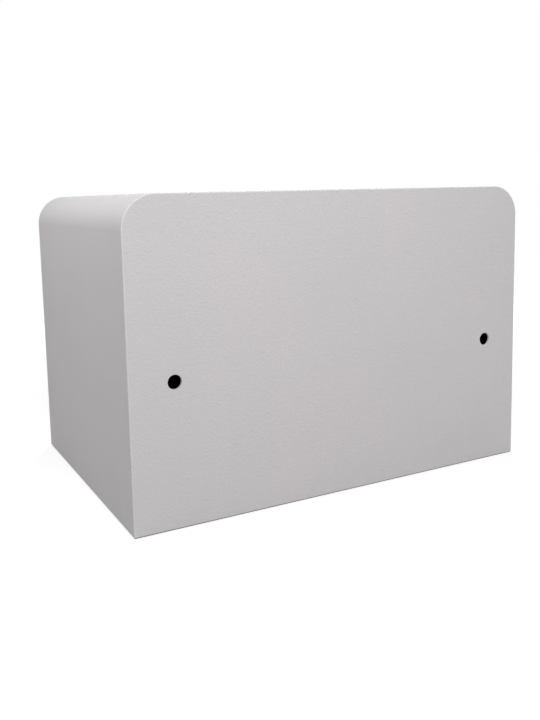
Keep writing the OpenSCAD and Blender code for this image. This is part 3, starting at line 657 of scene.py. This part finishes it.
# The drill's end widens, so that the hole has a chamfered rim
def drillHole(back, x, low, high):
    z, radius, rim = casing["holePlace"][1], casing["holeRadius"], casing["holeRound"]
    drill = addRound((x, low.y - fit["past"], z), (x, high.y - rim, z), radius)
    editWith(drill, faces=facing(0, 1, 0))
    bpy.ops.mesh.extrude_region_move(TRANSFORM_OT_translate={"value": (0, rim * 2, 0)})
    share = (radius + 2 * rim) / radius
    bpy.ops.transform.resize(value=(share, 1, share), center_override=(x, high.y, z))
    leaveEdit()
    cutAway(back, drill)


def weldBack():
    low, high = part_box("back_panel")
    back = archedBlock(low, high)
    atFoot = lambda a, b: along("y")(a, b) and near(a.z, low.z)
    bevelEdges(back, atFoot, casing["footCorner"], casing["footSteps"])
    bevelEdges(back, lyingAt("y", high.y), casing["rearRound"], casing["rearSteps"])
    back.data.materials.append(finishes["casing_paint_back"])
    least, most = casing["groundEdge"]
    # Painted highlight: the faces of the rounded rear edge get the lighter paint
    highlightedEdge = lambda centre, normal: least < normal.y < most
    # Painted shade: the downward faces of the rounded foot edge get the darker paint, standing in for the
    # shadow at the floor
    shadedUnderEdge = lambda centre, normal: least < normal.y < most and normal.z < -least
    paintFaces(back, "casing_paint_highlight", highlightedEdge)
    paintFaces(back, "casing_paint_foot_shade", shadedUnderEdge)
    for side in (-1, 1):
        drillHole(back, side * casing["holePlace"][0], low, high)
    inset, half = casing["rearRound"] * casing["tackInset"], casing["tackLength"] / 2
    x, y, z = high.x - inset, high.y - inset, high.z - inset
    tacks = [addTack((x, y, up - half), (x, y, up + half)) for up in casing["sideTacks"]]
    tacks += [addTack((over - half, y, z), (over + half, y, z)) for over in casing["topTacks"]]
    standFor(smoothFinish(joinPieces([back] + tacks), "wide"), "back_panel", "back_panel_welded")


# True for an edge that runs along the outer or the inner face of the bent sheet, not across it
def onSheet(a, b, high):
    def depth(point):
        across = abs(point.x) - (high.x - casing["topCorner"])
        past = point.z - (high.z - casing["topCorner"])
        if across > 0 and past > 0:
            return casing["topCorner"] - math.hypot(across, past)
        return min(high.x - abs(point.x), high.z - point.z)
    return near(depth(a), depth(b), casing["sheetGap"])


def bendShell():
    low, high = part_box("body_shell")
    shell = archedBlock(low, high)
    square = fit["facing"]
    editWith(shell, faces=lambda centre, normal: abs(normal.y) > square or normal.z < -square)
    bpy.ops.mesh.delete(type="FACE")
    leaveEdit()
    applyModifier(shell, "SOLIDIFY", thickness=casing["sheet"], offset=-1, use_even_offset=True)
    atFoot = lambda p: near(abs(p.x), high.x) and near(p.z, low.z)
    bevelEdges(shell, lambda a, b: atFoot(a) and atFoot(b), casing["footCorner"], casing["footSteps"])
    atFront = lambda a, b: lyingAt("y", low.y)(a, b) and onSheet(a, b, high)
    bevelEdges(shell, atFront, casing["frontRound"], casing["frontSteps"])
    standFor(smoothFinish(shell, "wide"), "body_shell", "body_shell_bent")


weldBack()
bendShell()
print("casing finished")

# Moulded and turned pieces on the front

knob = {
    "ribs": 60,
    "ribDepth": 0.00045,
    "ribSlope": 0.00012,
    "baseDepth": 0.005,
    "rimRound": 0.0006,
    "faceRim": 0.0022,
    "faceSlope": 0.0004,
    "faceDepth": 0.0006,
    "gripWidth": 0.013,
    "gripLength": 0.040,
    "gripFlat": 0.0002,
    "gripSteps": 9,
    "gripSink": 0.002,
    "gripTaper": (0.96, 1, 0.82),
    "gripRound": 0.0015,
    "roundSteps": 5,
    "hollowFrom": 0.004,
    "hollowNear": 0.001,
    "hollowRim": 0.0028,
    "hollowSlope": 0.0015,
    "hollowDepth": 0.0009,
    "boreRadius": 0.005,
    "boreDepth": 0.011,
    "markInset": 0.003,
    "markLength": 0.009,
    "markWidth": 0.0012,
    "markRise": 0.00012,
    "markSink": 0.0004,
}


# The round base: every second side is sunk between two ribs, and the face is dished
def turnKnobBase(middle, faceY, backY, radius):
    base = addRound((middle.x, backY, middle.z), (middle.x, faceY, middle.z), radius, 2 * knob["ribs"])
    bevelEdges(base, lyingAt("y", faceY), knob["rimRound"])

    def everySecond(centre, normal):
        turn = math.atan2(centre.z - middle.z, centre.x - middle.x) * knob["ribs"] / math.pi
        return abs(normal.y) < 1 - fit["facing"] and math.floor(turn) % 2 == 0

    editWith(base, faces=everySecond)
    bpy.ops.mesh.inset(thickness=knob["ribSlope"], depth=-knob["ribDepth"], use_individual=True)
    leaveEdit()
    editWith(base, faces=facing(0, -1, 0))
    bpy.ops.mesh.inset(thickness=knob["faceRim"])
    bpy.ops.mesh.inset(thickness=knob["faceSlope"], depth=-knob["faceDepth"])
    leaveEdit()
    return base


# The bar across the face, narrower at the front and hollowed on both sides for finger and thumb
def turnKnobGrip(middle, gripY, backY, reach):
    width = knob["gripWidth"] / 2
    grip = addBlock((middle.x - reach, gripY, middle.z - width), (middle.x + reach, backY, middle.z + width))
    bevelEdges(grip, along("y"), width - knob["gripFlat"], knob["gripSteps"])
    editWith(grip, faces=facing(0, -1, 0))
    bpy.ops.transform.resize(value=knob["gripTaper"], center_override=(middle.x, gripY, middle.z))
    leaveEdit()
    bevelEdges(grip, lyingAt("y", gripY), knob["gripRound"], knob["roundSteps"])

    def atSide(centre, normal):
        amid = near(centre.x, middle.x, knob["hollowNear"]) and centre.y > gripY + knob["hollowFrom"]
        return amid and abs(normal.z) > abs(normal.x) + abs(normal.y)

    editWith(grip, faces=atSide)
    bpy.ops.mesh.inset(thickness=knob["hollowRim"], use_individual=True)
    bpy.ops.mesh.inset(thickness=knob["hollowSlope"], depth=-knob["hollowDepth"], use_individual=True)
    leaveEdit()
    return grip


def turnKnob():
    low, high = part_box("knob")
    middle, radius = centreOf("knob"), (high.x - low.x) / 2
    faceY, gripY = high.y - knob["baseDepth"], low.y + knob["markRise"]
    reach = knob["gripLength"] / 2
    base = turnKnobBase(middle, faceY, high.y, radius)
    grip = turnKnobGrip(middle, gripY, faceY + knob["gripSink"], reach)
    piece = cutAway(base, grip, "UNION", "MANIFOLD")
    boreFrom, boreTo = high.y + fit["past"], high.y - knob["boreDepth"]
    bore = addRound((middle.x, boreFrom, middle.z), (middle.x, boreTo, middle.z), knob["boreRadius"])
    cutAway(piece, bore, "DIFFERENCE", "MANIFOLD")
    piece.data.materials.clear()
    piece.data.materials.append(finishes["knob_metal"])

    markX, half = middle.x - reach + knob["markInset"], knob["markWidth"] / 2
    mark = addBlock((markX, low.y, middle.z - half),
                    (markX + knob["markLength"], gripY + knob["markSink"], middle.z + half))
    mark.data.materials.append(finishes["pointer_white"])
    standFor(smoothFinish(joinPieces([piece, mark]), "knob"), "knob", "knob_turned")


turnKnob()


# True where a point lies on the outline of an upright rectangle with round corners
def onRounded(point, low, high, radius, gap=6e-5):
    half = Vector(((high.x - low.x) / 2, 0, (high.z - low.z) / 2))
    middle = (low + high) / 2
    across = Vector((abs(point.x - middle.x), 0, abs(point.z - middle.z)))
    corner = Vector((half.x - radius, 0, half.z - radius))
    if across.x > corner.x and across.z > corner.z:
        return abs((across - corner).length - radius) < gap
    return near(across.x, half.x, gap) or near(across.z, half.z, gap)


keyCap = {
    "flange": 0.0013,
    "flangeDepth": 0.001,
    "cornerRadius": 0.002,
    "cornerSteps": 6,
    "edgeRound": 0.0007,
    "edgeSteps": 4,
    "dishRim": 0.0012,
    "dishSlope": 0.0006,
    "dishDepth": 0.0003,
    "textSize": 0.0092,
    "textSteps": 6,
    "inkDepth": 0.00004,
    "names": ["1", "2", "3", "4", "5", "6", "7", "8", "9", "star", "0", "hash"],
    "faces": {"star": "*", "hash": "#"},
}


# One blank key at the middle of the pad, with a flange behind the panel and a dished face
def mouldKeyBlank(low, high):
    step, foot = keyCap["flange"], high.y - keyCap["flangeDepth"]
    blank = addBlock((low.x, foot, low.z), high)
    bevelEdges(blank, along("y"), keyCap["cornerRadius"] + step, keyCap["cornerSteps"])
    editWith(blank, faces=facing(0, -1, 0))
    bpy.ops.mesh.inset(thickness=step)
    bpy.ops.mesh.extrude_region_move(TRANSFORM_OT_translate={"value": (0, low.y - foot, 0)})
    bpy.ops.mesh.inset(thickness=keyCap["dishRim"])
    bpy.ops.mesh.inset(thickness=keyCap["dishSlope"], depth=-keyCap["dishDepth"])
    leaveEdit()
    inner = (low + Vector((step, 0, step)), high - Vector((step, 0, step)))
    onRim = lambda p: near(p.y, low.y) and onRounded(p, *inner, keyCap["cornerRadius"])
    bevelEdges(blank, lambda a, b: onRim(a) and onRim(b), keyCap["edgeRound"], keyCap["edgeSteps"])
    blank.data.materials.append(finishes["key_plastic"])
    return blank


def printOn(text, middle, frontY):
    bpy.ops.object.select_all(action="DESELECT")
    bpy.ops.object.text_add(rotation=(math.radians(90), 0, 0))
    ink = bpy.context.object
    ink.data.body = text
    ink.data.size = keyCap["textSize"]
    ink.data.extrude = keyCap["inkDepth"]
    ink.data.resolution_u = keyCap["textSteps"]
    bpy.ops.object.convert(target="MESH")
    bpy.ops.object.origin_set(type="ORIGIN_GEOMETRY", center="BOUNDS")
    ink.location = (middle.x, frontY, middle.z)
    ink.data.materials.clear()
    ink.data.materials.append(finishes["print_ink"])
    return bakePlace(ink)


def mouldKeys():
    low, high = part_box("key_5")
    blank = mouldKeyBlank(low, high)
    for key in keyCap["names"]:
        middle = centreOf("key_" + key)
        cap = copyTo(blank, middle - centreOf("key_5"))
        ink = printOn(keyCap["faces"].get(key, key), middle, low.y + keyCap["dishDepth"])
        standFor(smoothFinish(joinPieces([cap, ink]), "small"), "key_" + key, "key_" + key + "_cap")
    bpy.data.objects.remove(blank)


mouldKeys()

panel = {
    "cornerRadius": 0.010,
    "rimRound": 0.0018,
    "rimSteps": 5,
    "edgeRound": 0.0003,
    "edgeSteps": 2,
    "edgeAngle": 50,
    "ledDome": 0.0018,
    "ledSteps": 6,
    "capRound": 0.0008,
    "capSteps": 4,
    "thumbRadius": 0.0063,
    "thumbHalf": 0.005,
    "thumbSides": 64,
    "thumbForward": 0.0055,
    "thumbUp": 0.006,
}


def finishPanel():
    low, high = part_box("keypad_housing")
    housing = copyNode("keypad_housing")
    onRim = lambda p: near(p.y, low.y) and onRounded(p, low, high, panel["cornerRadius"])
    bevelEdges(housing, lambda a, b: onRim(a) and onRim(b), panel["rimRound"], panel["rimSteps"])
    breakEdges(housing, panel["edgeRound"], panel["edgeSteps"], panel["edgeAngle"])
    standFor(housing, "keypad_housing", "keypad_housing_moulded")

    leds = copyNode("status_leds")
    bevelEdges(leds, lyingAt("y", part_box("status_leds")[0].y), panel["ledDome"], panel["ledSteps"])
    standFor(smoothFinish(leds, "domed"), "status_leds", "status_leds_domed")


# The cap over the key lock, with a notch for the thumb at its foot
def finishLockCap():
    low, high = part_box("lock_cap")
    cap = copyNode("lock_cap")
    bevelEdges(cap, lyingAt("y", low.y), panel["capRound"], panel["capSteps"])
    x, y, z = (low.x + high.x) / 2, low.y - panel["thumbForward"], low.z + panel["thumbUp"]
    thumb = addRound((x - panel["thumbHalf"], y, z), (x + panel["thumbHalf"], y, z), panel["thumbRadius"],
                     panel["thumbSides"])
    cutAway(cap, thumb)
    standFor(smoothFinish(cap, "small"), "lock_cap", "lock_cap_moulded")


finishPanel()
finishLockCap()
print("front pieces finished")

# Screws, cells, springs and the felt mat

crossScrew = {
    "reach": 0.0034,
    "width": 0.0008,
    "depth": 0.0011,
    "domeRound": 0.0009,
    "domeSteps": 4,
    "headRadius": {"cover_screws": 0.003, "housing_screws": 0.00375},
}


# A cross recess cut by two thin blocks into a head whose face is at faceY
def cutCross(piece, x, z, faceY):
    reach, half, deep = crossScrew["reach"] / 2, crossScrew["width"] / 2, crossScrew["depth"]
    for across, up in [(reach, half), (half, reach)]:
        cutAway(piece, addBlock((x - across, faceY - deep, z - up), (x + across, faceY + deep, z + up)))


# The cover has a screw at each corner, and the panel's housing has one at each of two corners
def finishScrews():
    for node, radius in crossScrew["headRadius"].items():
        low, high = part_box(node)
        piece = copyNode(node)
        bevelEdges(piece, lyingAt("y", high.y), crossScrew["domeRound"], crossScrew["domeSteps"])
        xs, zs = (low.x + radius, high.x - radius), (low.z + radius, high.z - radius)
        places = [(x, z) for x in xs for z in zs] if node == "cover_screws" else zip(xs, zs)
        for x, z in places:
            cutCross(piece, x, z, high.y)
        standFor(smoothFinish(piece, "small"), node, node + "_finished")


finishScrews()

boltScrew = {
    "headRadius": 0.005,
    "edgeRound": 0.0006,
    "socketRadius": 0.0028,
    "socketDepth": 0.0025,
    "socketSides": 6,
}


# Socket heads at the back end of the two bolts
def finishBoltScrews():
    low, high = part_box("bolt_screws")
    piece = copyNode("bolt_screws")
    bevelEdges(piece, lyingAt("x", high.x), boltScrew["edgeRound"])
    y, start, end = (low.y + high.y) / 2, high.x - boltScrew["socketDepth"], high.x + fit["past"]
    for z in (low.z + boltScrew["headRadius"], high.z - boltScrew["headRadius"]):
        cutAway(piece, addRound((start, y, z), (end, y, z), boltScrew["socketRadius"],
                                boltScrew["socketSides"]))
    standFor(smoothFinish(piece, "small"), "bolt_screws", "bolt_screws_finished")


finishBoltScrews()

surfaceParts = {
    "edgeRound": 0.0003,
    "edgeSteps": 2,
    "sink": 0.00005,
    "chipSize": (0.0032, 0.0006, 0.0016),
    "chipRound": 0.0001,
    "endCap": 0.0005,
    "columns": [0.0665 + 0.0052 * i for i in range(5)],
    "rows": (0.1775, 0.1720),
    "oddChip": (0.0980, 0.1740),
    "regulatorSize": (0.0065, 0.0016, 0.0042),
    "regulatorRound": 0.0002,
    "regulatorPlace": (0.0980, 0.1790),
}


# A small block that stands on the board's face and has its other edges rounded
def solderBlock(size, place, faceY, width):
    (length, height, depth), (x, z) = size, place
    block = addBlock((x - length / 2, faceY - surfaceParts["sink"], z - depth / 2),
                     (x + length / 2, faceY + height, z + depth / 2))
    bevelEdges(block, lambda a, b: min(a.y, b.y) > faceY, width, surfaceParts["edgeSteps"])
    return block


# Small parts soldered on the board beside the sockets, the relay and the chip
def solderParts():
    parts = breakEdges(copyNode("board_parts"), surfaceParts["edgeRound"], surfaceParts["edgeSteps"])
    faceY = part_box("control_board")[1].y
    chip = solderBlock(surfaceParts["chipSize"], (0, 0), faceY, surfaceParts["chipRound"])
    bare = surfaceParts["chipSize"][0] / 2 - surfaceParts["endCap"]
    for cut in (-bare, bare):
        editWith(chip, faces=everyFace)
        bpy.ops.mesh.bisect(plane_co=(cut, 0, 0), plane_no=(1, 0, 0))
        leaveEdit()
    regulator = solderBlock(surfaceParts["regulatorSize"], surfaceParts["regulatorPlace"], faceY,
                            surfaceParts["regulatorRound"])
    for piece in (parts, chip, regulator):
        piece.data.materials.append(finishes["board_parts_plastic"])
    paintFaces(chip, "bright_steel", lambda centre, normal: abs(centre.x) > bare)
    places = [(x, z) for x in surfaceParts["columns"] for z in surfaceParts["rows"]]
    places.append(surfaceParts["oddChip"])
    chips = [copyTo(chip, (x, 0, z)) for x, z in places]
    bpy.data.objects.remove(chip)
    standFor(smoothFinish(joinPieces([parts] + chips + [regulator])), "board_parts", "board_parts_soldered")


solderParts()

cell = {
    "count": 4,
    "nubLength": 0.0012,
    "nubLip": 0.0002,
    "nubShare": 0.6,
    "endRound": 0.0007,
    "crimpWidth": 0.0016,
    "crimpDepth": 0.0003,
    "bareEnd": 0.0004,
    "bandLength": 0.011,
}


# The cells' radius, the distance from one to the next, and the first one's height
def stackOfCells():
    low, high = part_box("battery_cells")
    radius = (high.y - low.y) / 2
    return radius, (high.z - low.z - 2 * radius) / (cell["count"] - 1), low.z + radius


# One cell along X with its nub at the high end, then three more that point to and fro
def makeCells():
    low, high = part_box("battery_cells")
    radius, pitch, z = stackOfCells()
    y = (low.y + high.y) / 2
    tail, head = low.x + cell["nubLength"], high.x - cell["nubLength"]
    one = addRound((tail, y, z), (head, y, z), radius)
    bevelEdges(one, lambda a, b: near(a.x, b.x), cell["endRound"])
    editWith(one, faces=facing(1, 0, 0))
    bpy.ops.mesh.inset(thickness=cell["crimpWidth"], depth=-cell["crimpDepth"])
    bpy.ops.mesh.inset(thickness=cell["nubLip"])
    bpy.ops.transform.resize(value=(1, cell["nubShare"], cell["nubShare"]), center_override=(head, y, z))
    bpy.ops.mesh.extrude_region_move(
        TRANSFORM_OT_translate={"value": (cell["nubLength"] + cell["crimpDepth"], 0, 0)})
    leaveEdit()
    editWith(one, faces=everyFace)
    bpy.ops.mesh.bisect(plane_co=(head - cell["bandLength"], y, z), plane_no=(1, 0, 0))
    leaveEdit()
    one.data.materials.append(finishes["cell_sleeve"])
    paintFaces(one, "cell_band", lambda centre, normal: centre.x > head - cell["bandLength"])
    atEnd = lambda centre, normal: abs(normal.x) > fit["facing"] or centre.x > head - cell["bareEnd"]
    paintFaces(one, "bright_steel", atEnd)
    cells = []
    for i in range(cell["count"]):
        twin = copyTo(one, (0, 0, i * pitch))
        if i % 2:
            twin.location = (tail + head, 0, 2 * (z + i * pitch))
            twin.rotation_euler = (0, math.radians(180), 0)
            bakePlace(twin)
        cells.append(twin)
    bpy.data.objects.remove(one)
    standFor(smoothFinish(joinPieces(cells), "small"), "battery_cells", "battery_cells_sleeved")


makeCells()


# A round wire along a list of points, made a mesh
def bendWire(points, radius, roundness=3):
    curve = bpy.data.curves.new("wire", "CURVE")
    curve.dimensions = "3D"
    curve.bevel_depth = radius
    curve.bevel_resolution = roundness
    curve.use_fill_caps = True
    line = curve.splines.new("POLY")
    line.points.add(len(points) - 1)
    for spot, place in zip(line.points, points):
        spot.co = (*place, 1)
    wire = bpy.data.objects.new("wire", curve)
    bpy.context.scene.collection.objects.link(wire)
    pickUp(wire)
    bpy.ops.object.convert(target="MESH")
    return bpy.context.object


contact = {
    "plate": 0.0005,
    "side": 0.010,
    "cornerRadius": 0.0012,
    "cornerSteps": 4,
    "wire": 0.00035,
    "wide": 0.0034,
    "narrow": 0.0019,
    "turns": 3.5,
    "stepsPerTurn": 20,
    "studRadius": 0.0015,
    "studSides": 24,
    "studRound": 0.0006,
}


# A coil that narrows from the plate's face at x to its tip; inward is 1 towards +X
def coilContact(x, y, z, inward, reach):
    steps = int(contact["stepsPerTurn"] * contact["turns"])
    coil = []
    for step in range(steps + 1):
        share, turn = step / steps, 2 * math.pi * step / contact["stepsPerTurn"]
        ring = contact["wide"] + (contact["narrow"] - contact["wide"]) * share
        rise = contact["wire"] + (reach - 2 * contact["wire"]) * share
        coil.append((x + inward * rise, y + ring * math.cos(turn), z + ring * math.sin(turn)))
    return bendWire(coil, contact["wire"])


# At each cell a sprung contact on one side and a dimpled one on the other
def makeContacts():
    low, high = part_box("battery_contacts")
    radius, pitch, firstZ = stackOfCells()
    y, half = (low.y + high.y) / 2, contact["side"] / 2
    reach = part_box("battery_cells")[0].x + cell["nubLength"] - low.x - contact["plate"]
    made = []
    for i in range(cell["count"]):
        z = firstZ + i * pitch
        for wall, inward, sprung in [(low.x, 1, i % 2 == 0), (high.x, -1, i % 2 == 1)]:
            face = wall + inward * contact["plate"]
            xs = sorted([wall, face])
            plate = addBlock((xs[0], y - half, z - half), (xs[1], y + half, z + half))
            made.append(bevelEdges(plate, along("x"), contact["cornerRadius"], contact["cornerSteps"]))
            if sprung:
                made.append(coilContact(face, y, z, inward, reach))
            else:
                tip = face + inward * (reach - cell["nubLength"])
                stud = addRound((face, y, z), (tip, y, z), contact["studRadius"], contact["studSides"])
                made.append(bevelEdges(stud, lyingAt("x", tip), contact["studRound"]))
    standFor(smoothFinish(joinPieces(made), "small"), "battery_contacts", "battery_contacts_sprung")


makeContacts()

plungerSpring = {"wire": 0.0004, "turns": 5, "flatTurns": 0.75, "ring": 0.0047, "stepsPerTurn": 24}


# A spring with flat end turns, wound to the CAD spring's length; the real one stretches as the plunger drops
def makePlungerSpring():
    low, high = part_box("plunger_spring")
    middle, ring = centreOf("plunger_spring"), plungerSpring["ring"]
    lift = high.z - low.z - 2 * plungerSpring["wire"]
    free = plungerSpring["turns"] - 2 * plungerSpring["flatTurns"]
    coil = []
    for step in range(plungerSpring["stepsPerTurn"] * plungerSpring["turns"] + 1):
        turn = step / plungerSpring["stepsPerTurn"]
        share = min(max((turn - plungerSpring["flatTurns"]) / free, 0), 1)
        angle = 2 * math.pi * turn
        coil.append((middle.x + ring * math.cos(angle), middle.y + ring * math.sin(angle),
                     low.z + plungerSpring["wire"] + lift * share))
    spring = bendWire(coil, plungerSpring["wire"])
    spring.name = "plunger_spring_wound"
    spring.data.materials.append(finishes[slotOf["plunger_spring"]])
    smoothFinish(spring, "wide")
    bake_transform(spring)
    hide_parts("plunger_spring")


makePlungerSpring()

mat = {
    "cornerRadius": 0.004,
    "cornerSteps": 5,
    "edgeRound": 0.0006,
    "cells": (60, 40),
    "wave": 0.00025,
    "waveSize": 0.05,
}


# Felt laid on the floor: a thin block cut into a grid, whose top rises and falls a little
def layMat():
    low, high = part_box("floor_mat")
    felt = addBlock(low, high)
    bevelEdges(felt, along("z"), mat["cornerRadius"], mat["cornerSteps"])
    bevelEdges(felt, lyingAt("z", high.z), mat["edgeRound"])
    for axis, count in enumerate(mat["cells"]):
        for i in range(1, count):
            place = low.copy()
            place[axis] += (high[axis] - low[axis]) * i / count
            editWith(felt, faces=everyFace)
            bpy.ops.mesh.bisect(plane_co=place, plane_no=(1, 0, 0) if axis == 0 else (0, 1, 0))
            leaveEdit()
    top = felt.vertex_groups.new(name="top")
    top.add([v.index for v in felt.data.vertices if near(v.co.z, high.z)], 1, "REPLACE")
    waves = bpy.data.textures.new("felt_waves", "CLOUDS")
    waves.noise_scale = mat["waveSize"]
    applyModifier(felt, "DISPLACE", texture=waves, texture_coords="LOCAL", direction="Z", mid_level=1.0,
                  strength=mat["wave"], vertex_group="top")
    standFor(smoothFinish(felt, "wide"), "floor_mat", "floor_mat_felt")


layMat()
print("small pieces finished")

# Floor, world and lights

studio = {
    "floorSize": 12,
    "floorDrop": 0.0002,
    "floorColour": (0.50, 0.50, 0.50),
    "floorGloss": {"Specular IOR Level": 0.0},
    "floorGlow": (0.60, 0.85),
    "glowRange": (0.25, 1.0),
    "ambient": 0.30,
}
lamps = {
    "key_lamp": {
        "place": (0.3, 0.75, 0.8), "aim": (0, 0.1, 0.1), "size": 0.7, "power": 7.0, "spread": 180,
    },
    "side_lamp": {
        "place": (0.42, -0.02, 0.5), "aim": (0, 0.1, 0.1), "size": 0.25, "power": 0.7, "spread": 180,
    },
    "rear_lamp": {
        "place": (-0.5, 1.3, 0.25), "aim": (0, 0.1, 0.1), "size": 0.6, "power": 3.0, "spread": 180,
    },
    "front_lamp": {
        "place": (-1.0, -1.3, 0.6), "aim": (0, -0.1, 0.15), "size": 1.0, "power": 5.2, "spread": 80,
    },
}


# 1 for what the camera sees, directly, in a reflection or through a lens, and 0 otherwise
def isSeen(tree):
    path = tree.nodes.new("ShaderNodeLightPath")
    seen = path.outputs["Is Camera Ray"]
    for ray in ["Is Glossy Ray", "Is Transmission Ray"]:
        both = tree.nodes.new("ShaderNodeMath")
        both.operation = "MAXIMUM"
        tree.links.new(seen, both.inputs[0])
        tree.links.new(path.outputs[ray], both.inputs[1])
        seen = both.outputs["Value"]
    return seen


# One shader where it is seen, and another for the light that it casts
def mixSeen(tree, cast, seen, target):
    mix = tree.nodes.new("ShaderNodeMixShader")
    tree.links.new(isSeen(tree), mix.inputs["Fac"])
    tree.links.new(cast, mix.inputs[1])
    tree.links.new(seen, mix.inputs[2])
    tree.links.new(mix.outputs["Shader"], target.inputs["Surface"])


# White where it is seen, and a soft grey light otherwise
def makeWorld():
    world = bpy.data.worlds.new("studio")
    bpy.context.scene.world = world
    world.use_nodes = True
    tree = world.node_tree
    tree.nodes.clear()
    lights = []
    for strength in (studio["ambient"], 1.0):
        light = tree.nodes.new("ShaderNodeBackground")
        light.inputs["Color"].default_value = (1, 1, 1, 1)
        light.inputs["Strength"].default_value = strength
        lights.append(light.outputs["Background"])
    mixSeen(tree, *lights, tree.nodes.new("ShaderNodeOutputWorld"))


# Paper that glows where it is seen, more so further off, and that keeps the safe's shadow
def makeFloor():
    bpy.ops.object.select_all(action="DESELECT")
    bpy.ops.mesh.primitive_plane_add(size=studio["floorSize"], location=(0, 0, -studio["floorDrop"]))
    floor = bpy.context.object
    floor.name = "studio_floor"
    paper = newFinish("floor_paper", studio["floorColour"], 1.0, **studio["floorGloss"])
    distance = addNode(paper, "ShaderNodeVectorMath")
    distance.operation = "LENGTH"
    link(paper, addNode(paper, "ShaderNodeTexCoord").outputs["Object"], distance.inputs[0])
    rise = addNode(paper, "ShaderNodeMapRange")
    rise.interpolation_type = "SMOOTHSTEP"
    link(paper, distance.outputs["Value"], rise.inputs["Value"])
    rise.inputs["From Min"].default_value, rise.inputs["From Max"].default_value = studio["glowRange"]
    rise.inputs["To Min"].default_value, rise.inputs["To Max"].default_value = studio["floorGlow"]
    glow = addNode(paper, "ShaderNodeEmission")
    link(paper, rise.outputs["Result"], glow.inputs["Strength"])
    both = addNode(paper, "ShaderNodeAddShader")
    plain = shaderOf(paper).outputs["BSDF"]
    link(paper, plain, both.inputs[0])
    link(paper, glow.outputs["Emission"], both.inputs[1])
    mixSeen(paper.node_tree, plain, both.outputs["Shader"], paper.node_tree.nodes["Material Output"])
    floor.data.materials.append(paper)


def hangLamps():
    for name, lamp in lamps.items():
        bpy.ops.object.light_add(type="AREA", location=lamp["place"])
        light = bpy.context.object
        light.name = name
        light.data.shape = "SQUARE"
        light.data.size = lamp["size"]
        light.data.energy = lamp["power"]
        light.data.spread = math.radians(lamp["spread"])
        light.visible_camera = False
        aim = Vector(lamp["aim"]) - Vector(lamp["place"])
        light.rotation_euler = aim.to_track_quat("-Z", "Y").to_euler()


makeWorld()
makeFloor()
hangLamps()
bpy.context.scene.view_settings.view_transform = "Standard"
print("studio set")
